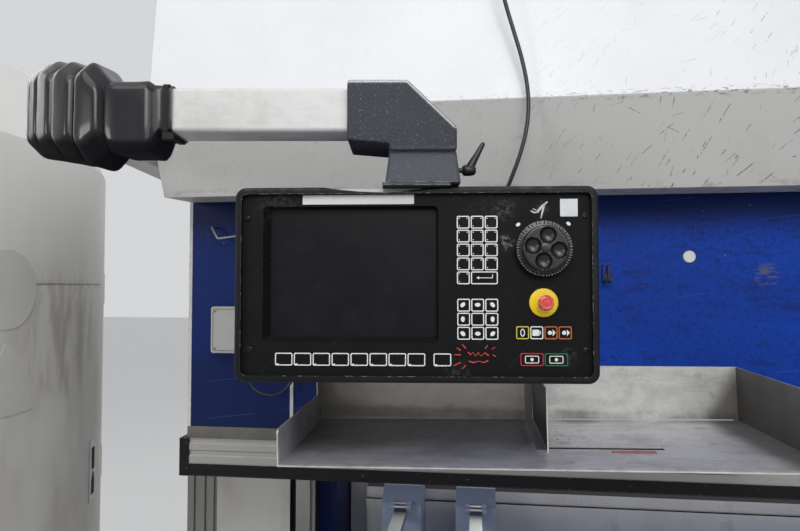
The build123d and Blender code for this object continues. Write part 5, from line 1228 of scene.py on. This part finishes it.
class PRESSBRAKE_OT_panel_print(bpy.types.Operator):
    """Prints the key frames, their marks and the bare plates on the panel"""

    bl_idname = "pressbrake.panel_print"
    bl_label = "Panel print"

    def execute(self, context):
        sizes = context.scene.press_print
        line, corner, film = sizes.line / MM, sizes.corner / MM, sizes.film / MM
        low, high = KEY_TOP, KEY_TOP + film
        by_colour = {}
        for key in key_islands():
            by_colour.setdefault(key_colour(key[0], key[1]), []).append(key)

        def frames(work, keys):
            for u, v, width, height in keys:
                outer = rounded_corners(width / 2, height / 2, corner)
                inner = rounded_corners(width / 2 - line, height / 2 - line, corner - line * 0.6)
                ring(work, outer, inner, on_panel(u, v), low, high)

        for colour, keys in by_colour.items():
            name = "key_frames_" + colour.split("_")[0]
            piece(name, lambda work: frames(work, keys), colour, "panel")

        def marks(work):
            for keys in by_colour.values():
                for u, v, width, _ in keys:
                    key_marks(work, u, v, width, low, high)

        piece("key_marks", marks, "white_print", "panel")
        self.labels(film)
        self.screws(sizes)
        self.paint_strokes(film)
        return {"FINISHED"}

    def labels(self, film):
        """The bare strip and plate, and the two marks beside the handwheel."""
        def flat(outline, place, thick):
            return lambda work: plate(work, outline, place, FACE_OUT, FACE_OUT + thick)

        strip = flat(rounded_corners(81.4, 6.8, 0.6), on_panel(-82.5, 123.5), 0.35)
        badge = flat(rounded_corners(12.5, 12.7, 1.0), on_panel(221.4, 110.2), 0.6)

        def diamonds(work):
            for u, v, turn in ((148.9, 86.2, 0.6), (220.7, 87.2, -0.6)):
                plate(work, ellipse(3.6, 2.5, 8, turn), on_panel(u, v), FACE_OUT, FACE_OUT + film)

        piece("bare_strip", strip, "strip_paper", "panel")
        piece("bare_badge", badge, "sheet", "panel")
        piece("wheel_marks", diamonds, "white_print", "panel")

    def screws(self, sizes):
        profile = [(0, 0), (1, 0), (0.95, 0.42), (0.55, 0.6), (0.5, 0.25), (0, 0.25)]

        def heads(work):
            for u, v in ((-244.8, 96.7), (-240.5, -94.4), (244.4, 99.1), (243.3, -93.9)):
                lathe(work, profile, panel_at(u, v), ACROSS_OUT, ACROSS, 20, sizes.screw)

        piece("panel_screws", heads, "oxide", "panel", 40)

    def paint_strokes(self, film):
        """Loose strokes of red marking paint below the cursor keys, and a wiped smear by the handwheel."""
        strokes = [
            (((60, -91), (66, -95)), 0.9), (((68, -86), (73, -92)), 0.9), (((56, -101), (66, -101)), 0.9),
            (((55, -117), (66, -112)), 0.9), (((68, -121), (73, -116)), 0.8), (((104, -87), (101, -92)), 0.8),
            (((110, -93), (115, -90)), 0.7), (((111, -101), (116, -103)), 0.7),
            (((77, -110), (84, -112), (92, -110), (99, -112), (105, -109)), 1),
            ((
                (76, -97), (80, -101), (83, -97), (87, -103), (91, -98), (95, -103), (100, -98), (106, -102),
            ), 1),
        ]
        smears = [
            (((167, 106), (172, 103.5), (179, 104)), 1.3), (((176, 104), (183, 112), (191, 119)), 2.0),
            (((187, 117), (184, 106), (181.5, 95)), 1.5), (((170, 109), (175, 107)), 0.8),
        ]
        self.brushed_strokes("paint_strokes", strokes, "paint_mark", film)
        self.brushed_strokes("film_smears", smears, "pale_smear", film)

    def brushed_strokes(self, name, strokes, finish, film):
        """Strokes of uneven width along their points, on the panel's film."""
        def lines(work):
            for points, half in strokes:
                left, right = [], []
                for n, here in enumerate(points):
                    before, after = points[max(n - 1, 0)], points[min(n + 1, len(points) - 1)]
                    way = (Vector(after) - Vector(before)).normalized()
                    side = Vector((-way.y, way.x)) * half * (0.7 + 0.3 * math.sin(n * 2.1))
                    left.append(Vector(here) + side)
                    right.append(Vector(here) - side)
                for n in range(len(points) - 1):
                    quad = [left[n], left[n + 1], right[n + 1], right[n]]
                    plate(work, [tuple(p) for p in quad], panel_at, FACE_OUT, FACE_OUT + film)

        piece(name, lines, finish, "panel")


class PRESSBRAKE_OT_controls(bpy.types.Operator):
    """Builds the handwheel, the stop button and the clamping lever in full"""

    bl_idname = "pressbrake.controls"
    bl_label = "Controls"

    def execute(self, context):
        self.stop_button()
        self.handwheel()
        self.lever()
        return {"FINISHED"}

    def handwheel(self):
        """A smooth face with four deep finger hollows over a toothed skirt."""
        turns = [math.radians(80 + 90 * n) for n in range(4)]
        hollows = [(18.5 * math.cos(turn), 18.5 * math.sin(turn)) for turn in turns]
        face, skirt, foot, steps, teeth = 16.0, 6.0, -7.0, 240, 40
        knob_radius, skirt_radius, hollow_radius, hollow_depth = 33.2, 39.5, 11.8, 8.5
        round_start, round_size, dome_radius, dome = 29.5, 3, 6.5, 0.7

        def level(radius, u, v, groove):
            if radius > 32.9:
                return skirt - 0.25 * max(0.0, radius - knob_radius) - (1.8 if groove else 0.0)
            height = face + dome * max(0.0, 1 - (radius / dome_radius) ** 2) ** 0.5
            if radius > round_start:
                reach = radius - round_start
                height -= round_size - math.sqrt(max(0.0, round_size ** 2 - reach ** 2))
            for du, dv in hollows:
                away = math.hypot(u - du, v - dv) / hollow_radius
                if away < 1:
                    height -= hollow_depth * (1 - away ** 2) ** 0.55
            return height

        def wheel(work):
            radii = [1.5 + 1.0 * n for n in range(29)] + [30.2, 31.2, 32.0, 32.4, 32.5]
            rows = [[work.verts.new(panel_at(*WHEEL_PLACE, face + dome))]]
            outer = [34.4, 34.5, 36.5, 38.8, skirt_radius]
            under = [(skirt_radius, foot + 1), (skirt_radius - 1, foot)]
            worked_out = [(radius, None) for radius in radii + [33.0] + outer]
            for radius, fixed in worked_out + under:
                row = []
                for step in range(steps):
                    turn = math.tau * step / steps
                    u, v = radius * math.cos(turn), radius * math.sin(turn)
                    groove = step % (steps // teeth) < 2 and radius > 34.45
                    height = level(radius, u, v, groove) if fixed is None else fixed
                    row.append(work.verts.new(panel_at(WHEEL_PLACE[0] + u, WHEEL_PLACE[1] + v, height)))
                rows.append(row)
            rows.append([work.verts.new(panel_at(*WHEEL_PLACE, foot))])
            join(work, rows)

        # Pale marks on the skirt's teeth: partly rubbed wear, partly a painted highlight on the tooth edges;
        # shorter at the bottom, where shade falls
        def worn_and_glinting_teeth(work):
            for step in range(60):
                turn = math.tau * (step + 0.6) / 60
                out = Vector((math.cos(turn), math.sin(turn)))
                side = Vector((-out.y, out.x))
                inner = 35.2 + 2.6 * max(0.0, -math.sin(turn + 0.3))
                sides = ((inner, -0.4), (39.2, -0.5), (39.2, 0.5), (inner, 0.4))
                corners = [out * r + side * s for r, s in sides]
                outline = [(WHEEL_PLACE[0] + c.x, WHEEL_PLACE[1] + c.y) for c in corners]
                plate(work, outline, panel_at, skirt - 1.6, skirt - 0.2)

        made = piece("wheel_knob", wheel, "wheel_plastic", "wheel", 38)
        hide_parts("handwheel")
        piece("wheel_scuffs", worn_and_glinting_teeth, "rib_scuff", "wheel")

    def lever(self):
        """A tapered clamping lever on its flared hub and stud."""
        lean = math.radians(29)
        hub = Vector(JOINTS["swivel_lock"]["pos_m"]) + ARM_WAY * 0.008
        grip_way = UP * math.cos(lean) + ARM_WAY * math.sin(lean)
        flare = [(0, -9), (6.0, -9), (8.2, -6), (8.4, 2), (6.8, 9), (4.2, 11), (0, 11)]
        stud = [(0, -26), (3.8, -26), (3.8, -8), (0, -8)]
        grip = [(0, 0), (7.0, 0), (6.2, 8), (4.8, 24), (3.5, 44), (2.8, 46.8), (1.5, 47.8), (0, 48.2)]

        def forms(work):
            lathe(work, flare, hub, ARM_WAY, UP, 32, MM)
            lathe(work, stud, hub, ARM_WAY, UP, 20, MM)
            lathe(work, grip, hub, grip_way, ARM_WAY, 28, MM)

        made = piece("lever_grip", forms, "plastic", "lever", 40)
        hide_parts("clamp_lever")

    def stop_button(self):
        """The red head, rubbed and highlighted pale in a ring, and its yellow collar."""
        middle = panel_at(*ESTOP_PLACE, 0)
        head = [
            (0, -10), (7, -10), (7, 5.5), (8.0, 6.0), (10.0, 6.6), (11.0, 8.0), (11.2, 9.5),
            (10.8, 12.6), (9.7, 15.4), (8.2, 17.1), (7.3, 17.4), (6.8, 17.1), (6.0, 16.9),
            (3.5, 17.3), (0, 17.6),
        ]
        collar = [
            (8.1, FACE_OUT), (20.5, FACE_OUT), (20.5, FACE_OUT + 2.0), (19.8, FACE_OUT + 2.8),
            (18.6, FACE_OUT + 3.2), (12, FACE_OUT + 3.8), (8.1, FACE_OUT + 3.9), (8.1, FACE_OUT),
        ]

        def turned(profile):
            return lambda work: lathe(work, profile, middle, ACROSS_OUT, ACROSS, 56, MM)

        made = piece("stop_head", turned(head), "red", "stop_button", 50)
        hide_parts("estop_button")
        made = piece("stop_collar", turned(collar), "yellow", "panel", 40)
        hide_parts("estop_collar")


def seat(node, start, way):
    """Where a line first meets a construction piece, and the way that the face looks there."""
    way = Vector(way).normalized()
    hit, place, normal, _ = NODES[node].ray_cast(Vector(start), way)
    if not hit:
        raise RuntimeError(f"no face of {node} lies before {tuple(start)}")
    return place, normal


def body_of(node):
    """The body that a construction piece rides on."""
    return NODES[node].parent.name.split(":")[-1]


def in_front_of(node, inset, pitch, up):
    """Points in front of a long piece: from an inset at its left end, at a pitch and a height."""
    low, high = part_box(node)
    count = round((high.x - low.x - 2 * inset) / pitch) + 1
    return [(low.x + inset + n * pitch, low.y - 0.05, low.z + up) for n in range(count)]


class PRESSBRAKE_OT_fasteners(bpy.types.Operator):
    """Seats the cap screws on the faces that they hold"""

    bl_idname = "pressbrake.fasteners"
    bl_label = "Fasteners"

    def execute(self, context):
        front, down = (0, 1, 0), (0, 0, -1)
        for name, node, radius, finish, places in (
            ("jaw_screws", "clamp_jaws", 0.0014, "oxide", (0.0275, 0.04, 0.005)),
            ("table_screws", "table_beam", 0.012, "screw_steel", (0.1755, 0.32, 0.67)),
            ("holder_screws", "die_holder", 0.006, "screw_steel", (0.0475, 0.12, 0.038)),
        ):
            self.row(name, node, radius, front, in_front_of(node, *places), finish)
        low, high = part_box("junction_box")
        lid = [(low.x + x, low.y - 0.05, z) for x in (0.011, 0.092) for z in (low.z + 0.024, high.z - 0.011)]
        self.row("box_screws", "junction_box", 0.0026, front, lid)
        for node in ("left_carriage", "right_carriage"):
            low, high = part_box(node)
            plates = [(x, low.y + 0.1063, high.z + 0.05) for x in (low.x + 0.022, high.x - 0.022)]
            self.row(node + "_screws", node, 0.006, down, plates)
        casing_low, casing_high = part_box("side_casings")
        hood_low, hood_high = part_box("hood_cover")
        for side, x, way in (("left", casing_low.x, (1, 0, 0)), ("right", casing_high.x, (-1, 0, 0))):
            x -= way[0] * 0.1
            casing = [
                (x, y, casing_low.z + 0.05 + 0.5 * n)
                for y in (casing_low.y + 0.17, casing_high.y - 0.04) for n in range(5)
            ]
            hood = [
                (x, hood_low.y + y, z)
                for y in (0.14, 0.34, 0.52) for z in (hood_low.z + 0.252, hood_high.z - 0.04)
            ]
            self.row(side + "_casing_screws", "side_casings", 0.007, way, casing)
            self.row(side + "_hood_screws", "hood_cover", 0.006, way, hood)
        return {"FINISHED"}

    def row(self, name, node, radius, way, starts, finish="screw_steel"):
        """Cap screws where lines from their starting points meet a construction piece."""
        def heads(work):
            for start in starts:
                place, normal = seat(node, start, way)
                socket_screw(work, place, normal, radius)

        piece(name, heads, finish, body_of(node), 35)


class PRESSBRAKE_OT_fittings(bpy.types.Operator):
    """Adds the bare plates, the box's lid line, a dark sheet of painted shade under the tray's slot and a
    painted reflection in the dip of the panel's rim
    """

    bl_idname = "pressbrake.fittings"
    bl_label = "Fittings"

    def execute(self, context):
        self.cabinet_plates()
        self.lid_line()
        self.tray_marks()
        self.panel_rim()
        return {"FINISHED"}

    def curved_plate(self, name, outline, centre, thick, finish):
        """A thin plate that follows the cabinet's bow. Its centre is given from the front and the top."""
        clear = 0.0004
        (_, front, _), (right, _, top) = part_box("cabinet_shell")

        def on_cabinet(u, v, lift):
            start = (right + 0.1, front + centre[0] + u, top - centre[1] + v)
            place, normal = seat("cabinet_shell", start, (-1, 0, 0))
            return place + normal * (clear + lift)

        def sheet(work):
            rows = [[work.verts.new(on_cabinet(u, v, lift)) for u, v in outline] for lift in (0.0, thick)]
            join(work, rows + [[work.verts.new(on_cabinet(0, 0, thick))]])
            work.faces.new(rows[0][::-1])

        piece(name, sheet, finish, "frame", 30)

    def cabinet_plates(self):
        turns = [math.tau * n / 48 for n in range(48)]
        disc = [(0.092 * math.cos(turn), 0.092 * math.sin(turn)) for turn in turns]
        self.curved_plate("round_plate", disc, (0.188, 0.561), 0.0015, "plate_enamel")
        tips = [(0.0, 0.102), (-0.092, -0.080), (0.092, -0.080)]
        cut, steps = 0.03, 8
        rim = []
        for (u, v), (next_u, next_v) in zip(tips, tips[1:] + tips[:1]):
            for step in range(steps):
                t = cut + (1 - 2 * cut) * (step + 0.5) / steps
                rim.append((u + (next_u - u) * t, v + (next_v - v) * t))
        self.curved_plate("angled_plate", rim, (0.193, 0.770), 0.0015, "plate_enamel")
        latch = (0.618, 1.100)
        self.curved_plate("latch_plate", box_outline(-0.030, -0.090, 0.030, 0.090), latch, 0.003, "sheet")
        for number, (low, high) in enumerate(((-0.070, -0.028), (0.008, 0.066))):
            slot = box_outline(-0.014, low, 0.010, high)
            self.curved_plate(f"latch_slot_{number}", slot, latch, 0.0042, "shadow_gap")

    def lid_line(self):
        """The gap round the junction box's lid."""
        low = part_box("junction_box")[0]
        place, _ = seat("junction_box", (low.x + 0.0515, low.y - 0.05, low.z + 0.068), (0, 1, 0))

        def gap(work):
            def on_lid(u, v, w):
                return place + Vector((u, -w, v))

            outer = rounded_corners(0.0460, 0.0495, 0.004, 4)
            inner = rounded_corners(0.0450, 0.0485, 0.0035, 4)
            ring(work, outer, inner, on_lid, 0.0001, 0.0004)

        piece("lid_line", gap, "shadow_gap", "ram")

    def tray_marks(self):
        """A dark sheet of painted shade under the tray's slot, the dried paint in front of it and a painted
        highlight along the back's fold.
        """
        tray_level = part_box("tray")[0].z

        def on_tray(x, y, lift):
            place, normal = seat("tray", (x, y, tray_level + 0.071), (0, 0, -1))
            return place + normal * lift

        def paint(work):
            front, back, lift = -0.9235, -0.9055, 0.0003
            xs = [-0.664 + n * 0.0088 for n in range(10)]
            low = [on_tray(x, front + 0.002 * math.sin(n * 2.3), lift) for n, x in enumerate(xs)]
            high = [on_tray(x, back - 0.0025 * (n % 3 == 1), lift) for n, x in enumerate(xs)]
            join(work, [[work.verts.new(place) for place in row] for row in (low, high)], closed=False)

        # Painted highlight: a bright ridge along the fold at the back wall's foot
        def fold_highlight(work):
            steps, start, end = 40, -0.775, -0.346
            xs = [start + (end - start) * n / steps for n in range(steps + 1)]
            rows = []
            for y, lift in ((-0.6466, 0.0002), (-0.6460, 0.0009), (-0.6448, 0.0016)):
                rows.append([work.verts.new(on_tray(x, -0.655, lift)) for x in xs])
                for vertex, x in zip(rows[-1], xs):
                    vertex.co.y = y + 0.0004 * math.sin(x * 170)
            join(work, rows, closed=False)

        base = on_tray(-0.60, -0.93, 0).z
        tilt = (base - on_tray(-0.72, -0.93, 0).z) / 0.12

        def under_tray(x, y, lift):
            return x, y, base + (x + 0.60) * tilt + lift

        # Painted shade: a dark sheet under the tray's slot
        def shade_sheet(work):
            plate(work, box_outline(-0.782, -0.904, -0.557, -0.872), under_tray, -0.0075, -0.0055)

        piece("dried_paint", paint, "dried_paint", "ram")
        piece("tray_weld", fold_highlight, "bright_rim", "ram")
        piece("slot_liner", shade_sheet, "shadow_gap", "ram")

    def panel_rim(self):
        """A painted reflection of the white hood: a pale crescent in the dip of the panel's frame."""
        def crescent(work):
            middle, half, depth = -65, 78, 8.2
            top = [(u, 140.6) for u in range(-140, 12, 6)]
            dips = [max(0.0, math.cos((u - middle) / half * math.pi / 2)) ** 1.3 for u in range(10, -141, -6)]
            low = [(u, 140.4 - depth * dip) for u, dip in zip(range(10, -141, -6), dips)]
            plate(work, top + low, panel_at, -17.0, -15.0)

        piece("panel_bright_rim", crescent, "bright_rim", "panel")


BACKDROP = (0.66, 0.67, 0.68)


def seen_rays(tree):
    """1 for rays from the camera and in mirror and glass reflections."""
    path = tree.nodes.new("ShaderNodeLightPath")
    either = path.outputs["Is Camera Ray"]
    for ray in ("Is Glossy Ray", "Is Transmission Ray"):
        most = tree.nodes.new("ShaderNodeMath")
        most.operation = "MAXIMUM"
        tree.links.new(either, most.inputs[0])
        tree.links.new(path.outputs[ray], most.inputs[1])
        either = most.outputs[0]
    return either


def mixed(tree, share, first, second, end):
    """Leads two shaders, mixed by a share, into the tree's output."""
    mix = tree.nodes.new("ShaderNodeMixShader")
    for number, socket in enumerate((share, first.outputs[0], second.outputs[0])):
        tree.links.new(socket, mix.inputs[number])
    tree.links.new(mix.outputs[0], tree.nodes[end].inputs[0])


class PRESSBRAKE_OT_stage(bpy.types.Operator):
    """Sets the floor, the lights and the camera"""

    bl_idname = "pressbrake.stage"
    bl_label = "Stage"

    def execute(self, context):
        self.floor()
        self.world(context)
        self.lights()
        self.camera(context)
        return {"FINISHED"}

    def floor(self):
        reach = 30.0
        corners = box_outline(-reach, -reach, reach, reach)
        mesh = mesh_from(lambda work: work.faces.new([work.verts.new((x, y, 0)) for x, y in corners]))
        finish = Finish("studio_floor", (0.62, 0.62, 0.615), 0.7)
        material = finish.done()
        tree = finish.tree
        glow = tree.nodes.new("ShaderNodeEmission")
        glow.inputs["Color"].default_value = (*BACKDROP, 1)
        share = tree.nodes.new("ShaderNodeMath")
        share.operation = "MULTIPLY"
        tree.links.new(seen_rays(tree), share.inputs[0])
        share.inputs[1].default_value = 0.6
        mixed(tree, share.outputs[0], finish.shader, glow, "Material Output")
        mesh.materials.append(material)
        linked("studio_floor", mesh)

    def world(self, context):
        """Soft light all round, and a pale background for the camera, metal and glass."""
        world = bpy.data.worlds.new("studio")
        world.use_nodes = True
        tree = world.node_tree
        light = tree.nodes["Background"]
        light.inputs["Color"].default_value = (0.95, 0.97, 1.0, 1)
        light.inputs["Strength"].default_value = 0.21
        seen = tree.nodes.new("ShaderNodeBackground")
        seen.inputs["Color"].default_value = (*BACKDROP, 1)
        mixed(tree, seen_rays(tree), light, seen, "World Output")
        context.scene.world = world

    def lights(self):
        for name, place, aim, size, watts in (
            ("sky_light", (-1.6, -3.6, 5.4), (-0.9, -0.7, 1.9), 4.0, 104),
            ("front_fill", (1.8, -5.2, 3.2), (-0.6, -0.7, 1.5), 2.4, 36),
            ("rear_fill", (1.5, 5.5, 4.5), (0, 0, 1.3), 5.0, 130),
            ("left_fill", (-6.0, 0.5, 3.5), (-1.5, -0.3, 1.3), 4.0, 85),
            ("cabinet_fill", (-0.6, -3.4, 3.2), (-2.0, -0.8, 1.6), 1.4, 38),
            ("window_light", (-4.0, -4.2, 2.3), (-1.6, -1.1, 2.0), 1.0, 30),
        ):
            light = bpy.data.lights.new(name, "AREA")
            light.shape = "SQUARE"
            light.size = size
            light.energy = watts
            lamp = linked(name, light)
            lamp.location = place
            lamp.rotation_euler = (Vector(aim) - Vector(place)).to_track_quat("-Z", "Y").to_euler()

    def camera(self, context):
        data = bpy.data.cameras.new("photo_camera")
        data.lens = 27.0
        data.sensor_width = 36.0
        data.clip_end = 100
        camera = linked("photo_camera", data)
        camera.location = (-0.9105, -2.060, 1.747)
        tilt_up, turned_left = 2.0, 7.08
        camera.rotation_euler = (math.radians(90 + tilt_up), 0, math.radians(turned_left))
        context.scene.camera = camera
        context.scene.view_settings.view_transform = "Standard"


class PRESSBRAKE_PT_panel(bpy.types.Panel):
    """Lists the steps that dress the press brake"""

    bl_label = "Press Brake"
    bl_idname = "PRESSBRAKE_PT_panel"
    bl_space_type = "VIEW_3D"
    bl_region_type = "UI"
    bl_category = "Press Brake"

    def draw(self, context):
        layout = self.layout
        for group, names in (
            (context.scene.press_colours, ("blue", "hood", "cabinet", "arm", "casting")),
            (context.scene.press_print, ("line", "corner", "film", "screw")),
            (context.scene.press_bellows, ("radius", "pleats", "depth")),
        ):
            column = layout.column(align=True)
            for name in names:
                column.prop(group, name)
        for operator in OPERATORS:
            layout.operator(operator.bl_idname)


PROPERTY_GROUPS = {
    "press_colours": FinishColours,
    "press_print": PrintSizes,
    "press_bellows": BellowsSizes,
}
OPERATORS = (
    PRESSBRAKE_OT_finishes,
    PRESSBRAKE_OT_stage,
    PRESSBRAKE_OT_cables,
    PRESSBRAKE_OT_bellows,
    PRESSBRAKE_OT_panel_print,
    PRESSBRAKE_OT_controls,
    PRESSBRAKE_OT_fasteners,
    PRESSBRAKE_OT_fittings,
)


def register():
    for group in PROPERTY_GROUPS.values():
        bpy.utils.register_class(group)
    for operator in OPERATORS:
        bpy.utils.register_class(operator)
    bpy.utils.register_class(PRESSBRAKE_PT_panel)
    for name, group in PROPERTY_GROUPS.items():
        setattr(bpy.types.Scene, name, PointerProperty(type=group))


def unregister():
    for name in PROPERTY_GROUPS:
        delattr(bpy.types.Scene, name)
    bpy.utils.unregister_class(PRESSBRAKE_PT_panel)
    for operator in reversed(OPERATORS):
        bpy.utils.unregister_class(operator)
    for group in PROPERTY_GROUPS.values():
        bpy.utils.unregister_class(group)


def main():
    register()
    for operator in OPERATORS:
        group, name = operator.bl_idname.split(".")
        getattr(getattr(bpy.ops, group), name)()


if __name__ == "__main__":
    main()
